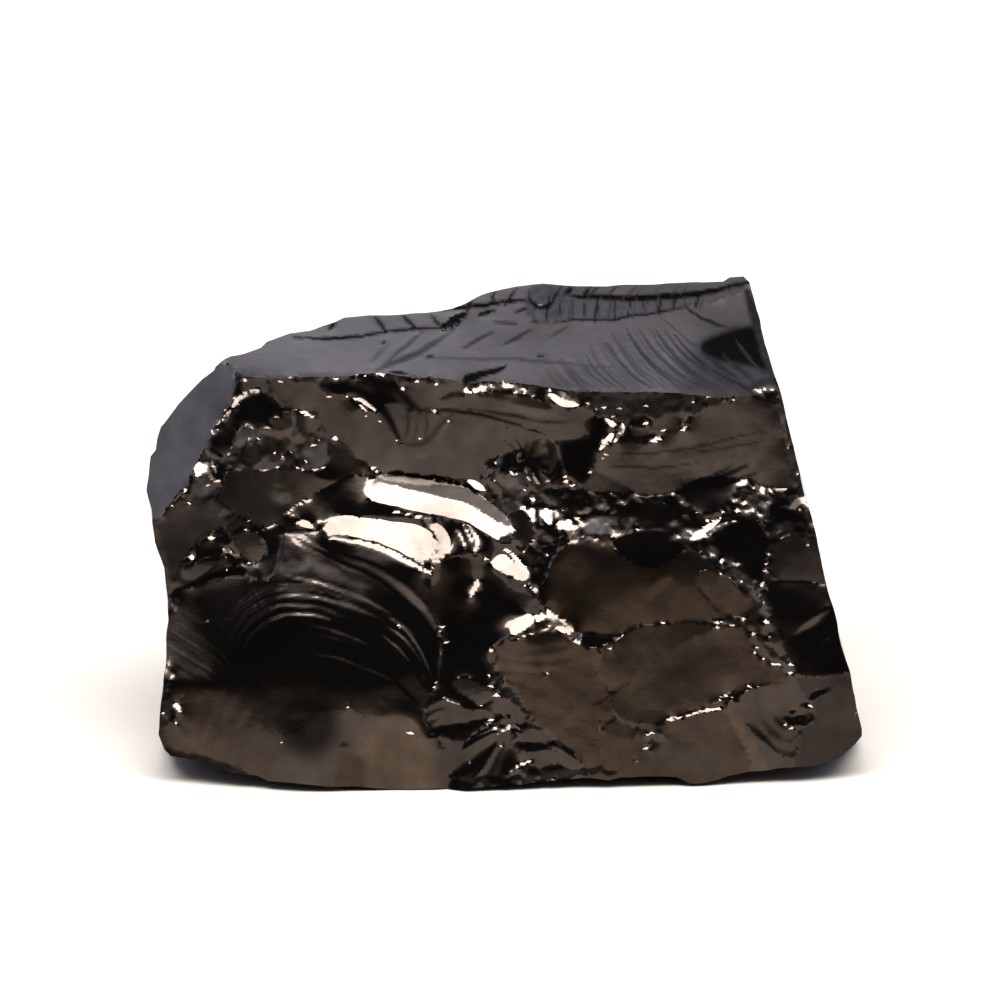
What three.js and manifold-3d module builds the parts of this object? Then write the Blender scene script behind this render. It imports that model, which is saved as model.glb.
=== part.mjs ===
// Shungite specimen: a hand-size block of glassy carbon rock, broken on every side.
// Millimetres, +Z up, resting on z = 0. The broken face looks along -Y, the flat top along +Z.
// The stone is the common part of several solids, each with one broken face worked in relief.
import * as THREE from 'three';
import Module from 'manifold-3d';
import { mergeVertices } from 'three/addons/utils/BufferGeometryUtils.js';

const LENGTH = 55; // overall length along X
const FACE_LEAN = 20; // degrees that the axes of the broken face lean back from upright
const FACE_FOOT = 4.8; // height on the face axes at which the foot of the face is measured
const FACE_STEP = 0.85; // grid spacing on the broken face
const TOP_STEP = 1.4; // grid spacing on the flat top
const SIDE_STEP = 1.9; // grid spacing on the back and both ends
const WALL_SLOPE = 1.2; // rise of the wall round a scar, per millimetre outside its outline

// Each scar is one fracture surface: outline [u, v], a point on it [u, v, height], its fall along
// u and v, and its bend to the left, right, below and above that point (plus is bulging).
const FACE_SCARS = [
  { name: 'dome', at: [-13, 10.5, 16.4], fall: [0, 0], bend: [0.042, 0.045, 0.022, 0.02],
    ripple: { centre: [-15.5, 4.5], start: 6, pitch: 3.2, height: 0.1 },
    outline: [[-29, 14.5], [-25.3, 14.5], [-23, 15.7], [-20.8, 18], [-19.2, 17.4], [-18.2, 18],
      [-17, 19.6], [-12, 19.4], [-8, 18.3], [-5.6, 17], [-5.7, 14.2], [-4.8, 10], [-5.5, 7.3],
      [-4.5, 5], [-4.4, -2], [-29, -2]] },
  { name: 'lower shoulder', at: [-10.5, 20, 14.9], fall: [-0.02, 0.45], bend: [0, 0.02, 0, 0],
    outline: [[-17.3, 19.6], [-16.6, 20.6], [-14.6, 21.3], [-12.8, 21.4], [-9, 20.9], [-6, 20.2],
      [-4.8, 18.5], [-5.6, 16.8], [-8, 18], [-12, 19]] },
  { name: 'groove', at: [-6, 21, 14.35], fall: [0, 0.04], bend: [0, 0.04, 0, 0],
    outline: [[-16.6, 20.6], [-14.8, 22.3], [-10.2, 22.4], [-5, 21.1], [-3, 20.6], [-0.2, 19.3],
      [-1, 17.7], [-4.3, 17.5], [-5.5, 20.5], [-9, 20.8], [-14.6, 21.3]] },
  { name: 'upper shoulder', at: [-5, 22, 13.95], fall: [0.05, 0.45], bend: [0, 0, 0, 0],
    outline: [[-10.4, 23.4], [-10, 24.1], [-6, 23], [-3.5, 22.4], [-1.5, 21.4], [0.4, 20],
      [-0.2, 19.1], [-3, 20.4], [-5, 20.9], [-10, 22.1]] },
  { name: 'lip', at: [-5, 23.4, 13.4], fall: [0.05, -0.3], bend: [0, 0, 0, 0],
    outline: [[-10.6, 24.5], [-10, 24], [-6, 22.9], [-3.5, 22.3], [-1.5, 21.3], [-1.3, 24.3],
      [-5, 24.3]] },
  { name: 'left bevel', at: [-23.1, 26, 13.2], fall: [-0.9, 0.2], bend: [0, 0, 0, 0],
    outline: [[-20.3, 31.9], [-20.6, 30.8], [-21, 29.5], [-22, 28.4], [-22.5, 27.2], [-23.5, 25.3],
      [-24, 24.2], [-25, 22.3], [-26.6, 21.1], [-30, 20], [-30, 37], [-21, 37]] },
  { name: 'valley', at: [-3.2, 10, 14], fall: [0, 0.05], bend: [-0.08, -0.08, 0, 0],
    outline: [[-5.6, 14.2], [-3.8, 13.8], [-2.5, 13.3], [-1.6, 12], [-1.1, 10.5], [-0.9, 8],
      [-1.5, 7], [-2.2, 6.3], [-3.8, 6.6], [-5.6, 7.2], [-4.8, 10.5]] },
  { name: 'dark pool', at: [-3.5, 15.8, 14.2], fall: [0.05, 0.08], bend: [0, 0, 0, 0],
    outline: [[-5.7, 16.6], [-4.6, 17.8], [-2, 18], [-1.5, 17.5], [-1.2, 16.3], [-2, 14.8],
      [-2.6, 13.6], [-3.8, 13.9], [-5.6, 14.4]] },
  { name: 'rolled step', at: [1, 15, 15.4], fall: [-0.05, 0.2], bend: [0, 0, 0, 0],
    outline: [[-1, 17.6], [0, 18.6], [1.5, 17.4], [3, 14], [3.1, 12.6], [0.8, 11.6], [-0.8, 11.2],
      [-1.6, 12], [-2.6, 13.6], [-1.4, 16.2]] },
  { name: 'right scar', at: [11, 15.5, 17.2], fall: [0, -0.27], bend: [0.02, 0.02, 0.067, 0.067],
    outline: [[3, 14.6], [3.4, 17.4], [4.3, 18.5], [6, 19.1], [8, 20], [11, 20.2], [14, 19.4],
      [14.5, 18], [16, 17], [17.2, 16.2], [18.5, 15.2], [19.2, 14.3], [18.8, 13.1], [16.5, 13.1],
      [13, 12.8], [10.8, 12.8], [9.5, 12.2], [7.5, 11.8], [5.7, 12.1], [4.3, 13.2]] },
  { name: 'lower scar', at: [3.5, 8, 15.2], fall: [0.02, -0.33], bend: [0, 0, 0, 0],
    outline: [[-1.2, 10], [-0.8, 11.2], [0.8, 11.6], [2.5, 12], [3.5, 12.2], [5.9, 11.2], [7, 11],
      [7.5, 9], [7.7, 7], [6, 5.5], [8.8, 5.2], [12.3, 5], [12.3, -1], [6, -1], [5.7, 2.2],
      [4, 4], [2, 5.8], [1, 7.8], [0, 8.2], [-1, 9]] },
  { name: 'lower right scar', at: [14, 8, 14.9], fall: [0.1, -0.3], bend: [0.01, 0.01, 0.01, 0.01],
    outline: [[7.8, 7], [9, 8], [10.5, 9.5], [13, 11], [15, 12], [17, 12.4], [18.8, 12],
      [19.2, 10.5], [20, 9.5], [21.5, 9], [22, 8], [19, 7.9], [16.7, 7.2], [14.5, 6.2], [12, 5.3],
      [8.8, 5.2]] },
  { name: 'narrow scar', at: [10, 10.5, 15.9], fall: [0, -0.36], bend: [0, 0, 0, 0],
    outline: [[7, 11], [9, 12], [10.5, 12.7], [15.5, 12.7], [15, 12], [13, 11], [10.5, 9.5],
      [9, 8], [7.7, 7], [7.5, 9]] },
  { name: 'bottom scar', at: [16, 3.5, 13.6], fall: [0.08, -0.33], bend: [0, 0, 0, 0],
    outline: [[12.3, 5], [16.8, 6.2], [18, 5], [19.8, 3.5], [21, 2.6], [20, -1], [12.3, -1]] },
  { name: 'shell scar', at: [20.5, 5.5, 12.9], fall: [0.25, -0.28], bend: [0, 0, 0, 0],
    outline: [[16.8, 6.4], [17.6, 7.6], [19, 8], [22, 8.2], [22.8, 7], [22.3, 5.5], [22.4, 2.5],
      [21, 2.6], [19.8, 3.5], [18, 5]] },
  { name: 'right foot', at: [25, 6, 11.6], fall: [0.35, -0.28], bend: [0, 0, 0, 0],
    outline: [[22.4, -1], [22.5, 5.5], [22, 8.6], [26.4, 8.9], [30, 8.9], [30, -1]] },
  { name: 'right flat', at: [23, 12.5, 13.3], fall: [0.42, 0.04], bend: [0.02, 0.02, 0.02, 0.02],
    outline: [[20.4, 16.1], [23.6, 16], [24.8, 15.6], [30, 15.6], [30, 9.2], [26.3, 9.2],
      [25, 8.8], [22.5, 8.8], [21.8, 9.5], [20.8, 12.5], [20.2, 14.5]] },
  { name: 'right shoulder', at: [22.5, 17.5, 13.8], fall: [0.4, -0.2], bend: [0, 0, 0, 0],
    outline: [[20.4, 16.1], [20.5, 18.6], [21.5, 19.5], [27, 19], [27, 15.6], [23.6, 16]] },
  { name: 'right hollow', at: [18, 18.5, 15.6], fall: [0.15, 0.02], bend: [0, 0, 0.08, 0.03],
    outline: [[15.2, 18.6], [16.6, 20.4], [18.2, 20.8], [20, 20.4], [20.5, 18.6], [20, 15.5],
      [19.2, 15.4], [17.2, 16.4]] },
  { name: 'crushed band', at: [8, 21, 15.6], fall: [-0.1, 0.12], bend: [0, 0, 0, 0],
    outline: [[2, 22.6], [6, 22.6], [10, 22.7], [13, 22.6], [14, 21], [14.3, 19.2], [11, 20.2],
      [8, 20], [6, 19.1], [4.3, 18.5], [3, 19.5], [2, 21]] },
  { name: 'dark lens', at: [16.5, 22, 16], fall: [0.08, 0.06], bend: [0, 0.02, 0, 0],
    outline: [[13.8, 23.2], [15, 23.8], [17.3, 24], [18.6, 23.6], [19.5, 23], [26, 23], [26, 19],
      [21.5, 19.5], [20.5, 20.6], [18.2, 21], [16.6, 20.6], [14.5, 19.2], [14, 21], [13.2, 22.6]] },
  { name: 'upper right scar', at: [14, 25.5, 16.7], fall: [0, -0.33], bend: [0, 0.012, 0, 0],
    outline: [[7.3, 26], [8.5, 26.7], [10.5, 26.8], [12.5, 27.1], [14.5, 28.3], [17, 29.8],
      [19, 31.5], [19, 34], [28, 34], [26, 23.4], [21, 23.2], [19.5, 23.3], [18.5, 24], [16, 24],
      [14, 23.7], [13, 22.8], [11, 22.6], [9.5, 23], [8.5, 24], [7, 24.6]] },
  { name: 'top crush', at: [11, 29.3, 18.3], fall: [-0.03, 0.02], bend: [0, 0, 0, 0],
    outline: [[6.5, 28.6], [6.2, 29.4], [4, 29.8], [4, 34], [19, 34], [19, 31.5], [17, 29.8],
      [14.5, 28.3], [12.5, 27.1], [10.5, 26.8], [8.5, 26.7]] },
  { name: 'long scar', at: [1, 29, 16.2], fall: [-0.12, -0.33], bend: [0, 0, -0.12, -0.12],
    outline: [[-5.8, 29.3], [-4, 30.3], [-3, 30.4], [1, 30.4], [4, 29.8], [6.2, 29.3],
      [6.7, 28.6], [6.2, 26.8], [3.5, 26.9], [1, 28], [-1.5, 28.8], [-3.3, 28.9]] },
  { name: 'top rim', at: [0, 31, 16.7], fall: [-0.1, 0.42], bend: [0, 0, 0, 0],
    outline: [[-3.4, 30.5], [1, 30.5], [4, 29.9], [4, 35], [-3.4, 35]] },
  { name: 'upper centre', at: [-4, 26, 13.9], fall: [0.02, -0.33], bend: [0, 0, 0, 0],
    outline: [[-10.2, 24.2], [-8, 24.1], [-1.5, 24.2], [-1.2, 25], [-0.5, 26.5], [-0.8, 27.8],
      [-3.5, 28.8], [-4.8, 27.2], [-6.2, 25.8], [-8.3, 25.2]] },
  { name: 'fluted facet', at: [-6.3, 28, 14.3], fall: [0.1, -0.3], bend: [0, 0, 0, 0],
    outline: [[-8.2, 26.6], [-7.3, 29.3], [-6.1, 29.4], [-5.2, 29.2], [-4, 28.5], [-5, 27.2],
      [-6.4, 26], [-8.3, 25.2]] },
  { name: 'funnel', at: [2.3, 25.8, 14.3], fall: [0, 0], bend: [-0.12, -0.12, -0.12, -0.12],
    outline: [[-0.6, 26.8], [0, 28], [1.2, 28], [3.5, 26.9], [4.2, 25.2], [3.9, 23.8],
      [2.2, 23.4], [0.8, 24.2], [-0.5, 25]] },
  { name: 'hook scar', at: [5.6, 26, 14.9], fall: [-0.08, 0.03], bend: [0, -0.06, 0, 0],
    outline: [[3.8, 26.9], [6.2, 26.8], [7, 28.6], [7.8, 28.8], [8.2, 28], [7.3, 26.2],
      [6.6, 24.8], [5.9, 23.9], [5, 24.3], [4.3, 25.2]] },
  { name: 'small facet', at: [7, 23.5, 15.3], fall: [0, -0.3], bend: [0, 0, 0, 0],
    outline: [[5.5, 23], [7, 24.4], [8.5, 24], [10, 22.8], [8, 22.7], [6, 22.6]] },
  { name: 'middle strip', at: [1, 21, 14.7], fall: [-0.05, -0.12], bend: [0, 0, 0, 0],
    outline: [[-1.5, 24.2], [0.8, 24.2], [2.2, 23.4], [2, 22.6], [2, 21], [3, 19.5], [2.5, 18],
      [1.5, 17.6], [0.6, 19], [0.3, 20.3], [-1, 21.8]] },
  { name: 'plate', at: [-12.8, 22.4, 13.4], fall: [-0.15, 0.12], bend: [0, 0, 0, 0],
    outline: [[-17, 20.5], [-15, 22.4], [-12.7, 23.9], [-11, 24.3], [-10.3, 23.6], [-10.2, 22.3],
      [-12.9, 21.2], [-14, 20], [-15, 20.4]] },
  { name: 'left middle', at: [-24, 20.5, 12.9], fall: [-0.3, -0.25], bend: [0, 0, 0, 0],
    outline: [[-29, 22.5], [-26.3, 21.2], [-25, 22.3], [-23, 22.6], [-21, 22], [-18.7, 20.4],
      [-20.5, 19.8], [-23, 19.7], [-24.5, 18.6], [-29, 18.6]] },
  { name: 'left lower', at: [-23, 17.5, 12.7], fall: [-0.3, -0.2], bend: [0, 0, 0, 0],
    outline: [[-29, 18.8], [-24.5, 18.6], [-23, 19.7], [-20.8, 19.6], [-20.5, 17.2],
      [-23, 15.7], [-25.3, 14.5], [-29, 14.5]] },
  { name: 'crater', at: [-19.5, 29, 13.9], fall: [0.1, 0.06], bend: [-0.04, -0.04, -0.04, -0.04],
    outline: [[-20.9, 29.5], [-20, 30.2], [-19, 30.5], [-18, 30.3], [-17.4, 29.8], [-16.7, 29.1],
      [-17, 28.6], [-18.5, 27.6], [-19.5, 27.9], [-20.4, 28], [-20.7, 27], [-21.2, 26],
      [-21.8, 25.6], [-22.8, 25.8], [-22.9, 26.4], [-22.2, 27.5], [-21.8, 28.6]] },
  { name: 'crumbled field', at: [-16.5, 26.3, 13.6], fall: [0, -0.15], bend: [0, 0, 0, 0],
    outline: [[-20.7, 27], [-20.4, 28], [-18.5, 27.6], [-17, 28.6], [-15, 28.9], [-14, 27.5],
      [-12, 26.8], [-11.4, 25], [-13.5, 24], [-15.5, 24.4], [-18, 24.6], [-20.5, 24.6],
      [-21.2, 26]] },
  { name: 'soft hollow', at: [-18.5, 23, 13.2], fall: [-0.05, -0.03], bend: [0, 0, 0, 0],
    outline: [[-20.5, 24.6], [-18, 24.6], [-15.5, 24.4], [-13.5, 24], [-12.7, 23.9], [-15, 22.4],
      [-17, 20.5], [-18.7, 20.4], [-21, 22], [-22, 23]] },
  { name: 'left glint', at: [-22.8, 24.3, 13], fall: [-0.25, 0.3], bend: [0, 0, 0, 0],
    outline: [[-22.9, 26.3], [-21.8, 25.6], [-21.2, 26], [-20.5, 24.6], [-22, 23], [-23, 22.6],
      [-25, 22.3], [-23.9, 24.3]] },
  { name: 'upper left', at: [-16.5, 30.8, 15.2], fall: [0, -0.3], bend: [0, 0, 0, 0],
    outline: [[-20.4, 34], [-14.4, 34], [-14.3, 30.2], [-14.6, 30], [-15, 28.9], [-16.9, 28.7],
      [-16.7, 29.1], [-18, 30.6], [-20, 30.6]] },
  { name: 'small scallop', at: [-11.5, 28, 14.2], fall: [0, -0.33], bend: [0, 0, 0, 0],
    outline: [[-14.6, 30], [-12.8, 30.1], [-11.5, 29.9], [-10.2, 29.3], [-9.2, 28.1],
      [-8.3, 26.7], [-9, 25.8], [-10.5, 25.2], [-11.3, 25.3], [-12, 26.8], [-14, 27.5],
      [-15, 28.4]] },
  { name: 'upper band', at: [-11.2, 31, 15.2], fall: [-0.05, 0.08], bend: [0, 0, 0, 0],
    outline: [[-14.3, 34], [-14, 30.3], [-11.8, 30.3], [-10.3, 29.8], [-9.6, 29.2],
      [-8.2, 26.6], [-7.3, 29.4], [-8, 34]] },
  { name: 'notch', at: [-5.5, 30.8, 15.2], fall: [-0.05, -0.25], bend: [0, 0, 0, 0],
    outline: [[-8, 34], [-7.3, 29.4], [-5.8, 29.4], [-3.4, 30.5], [-3.4, 34]] },
  { name: 'bottom hackle', at: [-0.5, 3, 13.8], fall: [0, -0.1], bend: [0, 0, 0, 0],
    outline: [[-5, 4], [-4, 5], [-2.2, 5.5], [0, 5.6], [2, 5.4], [4, 4], [5.7, 2.2], [6, -1],
      [-4.6, -1], [-4, 1.5]] },
];

// The flat top, on plan [x, y]: the height is z.
const TOP_SCARS = [
  { name: 'table', at: [0, -8, 30.6], fall: [0, -0.05], bend: [0, 0, 0, 0], slope: 0.45,
    outline: [[-30, -18], [30, -18], [30, 16], [18.8, 12], [17, 10], [14, 7.6], [8, 5], [4, 5],
      [2, 6.1], [-3, 4.1], [-8, 2.6], [-12, 0.9], [-15.5, 1.5], [-24, 3]] },
  { name: 'right dip', at: [19, -4.3, 29.9], fall: [0.045, -0.072], bend: [0, 0, 0, 0],
    slope: 0.45,
    outline: [[1, -18], [30, -18], [30, 16], [18.8, 12], [17, 10], [14, 7.6], [8, 4], [1, 3]] },
  { name: 'rear bank', at: [0, 6, 32.4], fall: [-0.035, -0.03], bend: [0, 0, 0, 0.02],
    outline: [[-30, -20], [32, -20], [32, 20], [-30, 20]] },
];

// The back, on [x, z] seen from the front: the height is y.
const BACK_SCARS = [
  { name: 'left hollow', at: [-9, 26, 8.4], fall: [-0.14, 0.3], bend: [-0.012, -0.012, 0, 0],
    slope: 0.6,
    outline: [[-30, 36], [-4, 36], [-2.5, 27], [-6, 17], [-13, 11], [-30, 14]] },
  { name: 'upper right', at: [9, 25, 11.9], fall: [-0.03, 0.05], bend: [0.006, 0.006, 0.004, 0],
    slope: 0.6,
    outline: [[-3.5, 36], [-2, 27], [3, 19], [12, 15], [30, 17], [30, 36]] },
  { name: 'round scar', at: [6, 11, 10.8], fall: [0.02, 0.04], bend: [-0.02, -0.02, -0.02, -0.02],
    ripple: { centre: [16, 0], start: 4, pitch: 4.6, height: 0.16 }, slope: 0.6,
    outline: [[-5, 18], [2, 19.5], [12, 15.5], [20, 16], [21, 6], [12, 3], [0, 5], [-6, 10]] },
  { name: 'belly', at: [-2, 8, 12.2], fall: [0, -0.05], bend: [0.012, 0.006, 0.012, 0.01],
    outline: [[-30, 20], [30, 20], [30, -3], [-30, -3]] },
  { name: 'foot chip', at: [-14, 3, 9.4], fall: [-0.1, -0.5], bend: [0, 0, 0, 0], slope: 0.6,
    outline: [[-24, 7], [-12, 8], [-5, 4], [-3, -3], [-26, -3]] },
];

// The left end, on [distance along the end, z]: the height is measured out to the left and back.
const END_SCARS = [
  { name: 'upper end', at: [18, 26, 19.3], fall: [0, 0.55], bend: [0.01, 0.01, 0, 0.08],
    outline: [[-20, 38], [36, 38], [36, 20], [16, 17], [8, 20], [-20, 21]] },
  { name: 'lower end', at: [10, 10, 20.4], fall: [-0.03, -0.03], bend: [0.012, 0.012, 0.006, 0.006],
    ripple: { centre: [10, 26], start: 4, pitch: 5, height: 0.16 },
    outline: [[-20, 24], [36, 24], [36, -3], [-20, -3]] },
  { name: 'end chip', at: [16, 6, 18.6], fall: [0.1, -0.2], bend: [-0.01, -0.01, -0.01, -0.01],
    outline: [[9, 13], [18, 16], [24, 8], [20, 0], [11, -3]] },
];

// The right side, on its own axes [u, v] through its middle: one clean break with a faint swell.
const SIDE_SCARS = [
  { name: 'clean break', at: [0, 0, 0], fall: [0, 0], bend: [0.004, 0, 0.003, 0],
    ripple: { centre: [16, 22], start: 6, pitch: 6.5, height: 0.08 },
    outline: [[-40, -40], [40, -40], [40, 40], [-40, 40]] },
  { name: 'rear scar', at: [-13, -4, -0.6], fall: [-0.14, 0], bend: [-0.01, -0.01, 0, 0],
    slope: 0.3, outline: [[-8, 4], [-10, -2], [-8, -12], [-12, -24], [-40, -24], [-40, 6]] },
];

// The underside, on plan [x, y]: flat, with both ends a little clear of the ground.
const FOOT_SCARS = [
  { name: 'flat', at: [0, 0, 0], fall: [0, 0], bend: [0, 0, 0, 0],
    outline: [[-40, -30], [40, -30], [40, 30], [-40, 30]] },
  { name: 'left rise', at: [-19, 0, 0], fall: [-0.17, 0.01], bend: [0, 0, 0, 0],
    outline: [[-40, -30], [-10, -30], [-10, 30], [-40, 30]] },
  { name: 'right rise', at: [20, 0, 0], fall: [0.14, 0.02], bend: [0, 0, 0, 0],
    outline: [[10, -30], [40, -30], [40, 30], [10, 30]] },
];

// Outline of the stone across the broken face [u, v], clockwise from the top left corner.
const PROFILE = [
  [-22, 33.2], [-20, 33.6], [-18.8, 34], [-18.3, 34.6], [-17, 35], [-15, 35.3], [-13, 36.1],
  [-12, 36.6], [-8, 36.6], [-5, 36.8], [-4, 37], [-2, 38.1], [0, 38.6], [1, 38.8], [3, 39],
  [8, 38.9], [12, 38.9], [15, 39.1], [17, 39.2], [17.5, 39.5], [18.5, 39.5], [19, 39.1],
  [20, 35.2], [21.1, 30.8], [22, 27.2], [23, 23.5], [24.2, 18.5], [25, 15.2], [26.8, 8],
  [27.5, 4.6], [27.5, 4.1], [27, 3.45], [26, 2.6], [25, 2.2], [24, 1.9], [21, 1.5], [18.6, 1.3],
  [17, 1], [15, 0.4], [14.3, 0.35], [13.3, 0.85], [9, 0.95], [8, 0.65], [6, 0.85], [3.5, 0.6],
  [1, 0.3], [-3, 0.05], [-8, 0.1], [-13, 0.2], [-15, 0.4], [-18.2, 0.6], [-19, 1.05],
  [-21, 1.25], [-23, 1.9], [-24, 2.3], [-25.7, 2.5], [-26.2, 3], [-26.6, 4.2], [-26.45, 5.5],
  [-26.2, 8], [-26, 11], [-25.8, 13], [-26, 15], [-26.2, 17], [-26.9, 19], [-27.2, 21.5],
  [-27.55, 23], [-27.4, 24.5], [-27.2, 25.6], [-26.8, 26.1], [-26.7, 27], [-26.5, 27.9],
  [-26, 28.5], [-25, 29.7], [-24, 31.1], [-23.1, 31.8], [-22.4, 32.3],
];

/** Distance from a point to an outline, 0 inside it. */
function outside(outline, u, v) {
  let inside = false;
  let nearest = Infinity;
  outline.forEach(([u0, v0], i) => {
    const [u1, v1] = outline[(i + 1) % outline.length];
    const du = u1 - u0;
    const dv = v1 - v0;
    const along = ((u - u0) * du + (v - v0) * dv) / (du * du + dv * dv);
    const t = THREE.MathUtils.clamp(along, 0, 1);
    nearest = Math.min(nearest, Math.hypot(u - u0 - t * du, v - v0 - t * dv));
    const crosses = v0 > v !== v1 > v && u < u0 + ((v - v0) * du) / dv;
    if (crosses) inside = !inside;
  });
  return inside ? 0 : nearest;
}

/** Height of one scar surface, rising as a wall outside its outline. */
function scarHeight(scar, u, v) {
  const [u0, v0, top] = scar.at;
  const [left, right, below, above] = scar.bend;
  const du = u - u0;
  const dv = v - v0;
  let height = top - scar.fall[0] * du - scar.fall[1] * dv;
  height -= 0.5 * (du < 0 ? left : right) * du * du;
  height -= 0.5 * (dv < 0 ? below : above) * dv * dv;
  if (scar.ripple) {
    const radius = Math.hypot(u - scar.ripple.centre[0], v - scar.ripple.centre[1]);
    const strength = THREE.MathUtils.smoothstep(radius, scar.ripple.start, scar.ripple.start + 6);
    height += strength * scar.ripple.height * Math.sin((2 * Math.PI * radius) / scar.ripple.pitch);
  }
  return height + (scar.slope ?? WALL_SLOPE) * outside(scar.outline, u, v);
}

/** The two lowest scars at a point: the first is the surface of the stone there. */
function lowestTwo(scars, u, v) {
  const found = scars.map((scar) => ({ scar, height: scarHeight(scar, u, v) }));
  found.sort((a, b) => a.height - b.height);
  return found;
}

/** Moves a grid point onto the ridge or crease between two scars, if one passes close by. */
function snapToCrease(scars, u, v, reach) {
  const [first, second] = lowestTwo(scars, u, v);
  if (!second) return [u, v];
  const gap = (a, b) => scarHeight(second.scar, a, b) - scarHeight(first.scar, a, b);
  const d = 0.05;
  const here = second.height - first.height;
  const gu = (gap(u + d, v) - gap(u - d, v)) / (2 * d);
  const gv = (gap(u, v + d) - gap(u, v - d)) / (2 * d);
  const steep = gu * gu + gv * gv;
  if (steep < 1e-6 || here / Math.sqrt(steep) > reach) return [u, v];
  return [u - (here * gu) / steep, v - (here * gv) / steep];
}

/** A closed block with one face in relief; axes are the face's own u, v and outward directions. */
function reliefBlock({ scars, from, to, step, floor, axes }) {
  const [uAxis, vAxis, outAxis] = axes;
  const mirrored = uAxis.clone().cross(vAxis).dot(outAxis) < 0;
  const columns = Math.round((to[0] - from[0]) / step);
  const rows = Math.round((to[1] - from[1]) / step);
  const surface = (u, v) => lowestTwo(scars, u, v)[0].height;
  const place = (u, v, out) => new THREE.Vector3()
    .addScaledVector(uAxis, u)
    .addScaledVector(vAxis, v)
    .addScaledVector(outAxis, out);
  const points = [];
  for (let j = 0; j <= rows; j += 1) {
    for (let i = 0; i <= columns; i += 1) {
      const u = from[0] + i * step;
      const v = from[1] + j * step;
      const rim = i === 0 || j === 0 || i === columns || j === rows;
      const [a, b] = rim ? [u, v] : snapToCrease(scars, u, v, step * 0.42);
      points.push({ a, b, out: surface(a, b) });
    }
  }
  const upper = points.map((p) => place(p.a, p.b, p.out));
  const lower = points.map((p) => place(p.a, p.b, floor));
  const positions = [...upper, ...lower].flatMap((p) => [p.x, p.y, p.z]);
  const index = [];
  const count = points.length;
  const id = (i, j) => j * (columns + 1) + i;
  for (let j = 0; j < rows; j += 1) {
    for (let i = 0; i < columns; i += 1) {
      const [a, b, c, d] = [id(i, j), id(i + 1, j), id(i + 1, j + 1), id(i, j + 1)];
      const middle = surface((points[a].a + points[c].a) / 2, (points[a].b + points[c].b) / 2);
      const errorAC = Math.abs((points[a].out + points[c].out) / 2 - middle);
      const errorBD = Math.abs((points[b].out + points[d].out) / 2 - middle);
      if (errorAC <= errorBD) index.push(a, b, c, a, c, d);
      else index.push(a, b, d, b, c, d);
      index.push(count + a, count + c, count + b, count + a, count + d, count + c);
    }
  }
  const wall = (p, q) => index.push(p, count + p, count + q, p, count + q, q);
  for (let i = 0; i < columns; i += 1) {
    wall(id(i, 0), id(i + 1, 0));
    wall(id(i + 1, rows), id(i, rows));
  }
  for (let j = 0; j < rows; j += 1) {
    wall(id(columns, j), id(columns, j + 1));
    wall(id(0, j + 1), id(0, j));
  }
  if (mirrored) index.reverse();
  const geometry = new THREE.BufferGeometry();
  geometry.setAttribute('position', new THREE.Float32BufferAttribute(positions, 3));
  geometry.setIndex(index);
  return geometry;
}

const wasm = await Module();
wasm.setup();

/** Turns a closed geometry into a solid. */
function solid(geometry) {
  const bare = geometry.clone();
  bare.deleteAttribute('normal');
  bare.deleteAttribute('uv');
  const merged = mergeVertices(bare, 1e-5);
  return new wasm.Manifold(new wasm.Mesh({
    numProp: 3,
    vertProperties: new Float32Array(merged.attributes.position.array),
    triVerts: new Uint32Array(merged.index.array),
  }));
}

/** Turns a solid back into a geometry. */
function geometryOf(body) {
  const mesh = body.getMesh();
  const geometry = new THREE.BufferGeometry();
  geometry.setAttribute('position', new THREE.BufferAttribute(mesh.vertProperties, mesh.numProp));
  geometry.setIndex(new THREE.BufferAttribute(mesh.triVerts, 1));
  return geometry;
}

const lean = THREE.MathUtils.degToRad(FACE_LEAN);
const X = new THREE.Vector3(1, 0, 0);
const Y = new THREE.Vector3(0, 1, 0);
const Z = new THREE.Vector3(0, 0, 1);
const faceUp = new THREE.Vector3(0, Math.sin(lean), Math.cos(lean));
const faceOut = new THREE.Vector3(0, -Math.cos(lean), Math.sin(lean));
const faceFoot = faceUp.clone().multiplyScalar(-FACE_FOOT);

const face = reliefBlock({
  scars: FACE_SCARS, from: [-30, -3], to: [30, 42], step: FACE_STEP, floor: -40,
  axes: [X, faceUp, faceOut],
}).translate(faceFoot.x, faceFoot.y, faceFoot.z);

const top = reliefBlock({
  scars: TOP_SCARS, from: [-30.8, -18.2], to: [30.8, 18.2], step: TOP_STEP, floor: -10,
  axes: [X, Y, Z],
});

const back = reliefBlock({
  scars: BACK_SCARS, from: [-31, -4], to: [31, 38], step: SIDE_STEP, floor: -30,
  axes: [X, Z, Y],
});

const endOut = new THREE.Vector3(-0.77, 0.638, 0);
const endAlong = new THREE.Vector3(-0.638, -0.77, 0);
const end = reliefBlock({
  scars: END_SCARS, from: [-24, -4], to: [36, 38], step: SIDE_STEP, floor: -60,
  axes: [endAlong, Z, endOut],
});

const foot = reliefBlock({
  scars: FOOT_SCARS, from: [-32, -20], to: [32, 20], step: 8, floor: -50,
  axes: [X, Y.clone().negate(), Z.clone().negate()],
});

const outline = new THREE.Shape(PROFILE.map(([u, v]) => new THREE.Vector2(u, v)));
const across = new THREE.Matrix4().makeBasis(X, faceUp, faceOut).setPosition(faceFoot);
const profile = new THREE.ExtrudeGeometry(outline, { depth: 80, bevelEnabled: false })
  .translate(0, 0, -50)
  .applyMatrix4(across);

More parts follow.
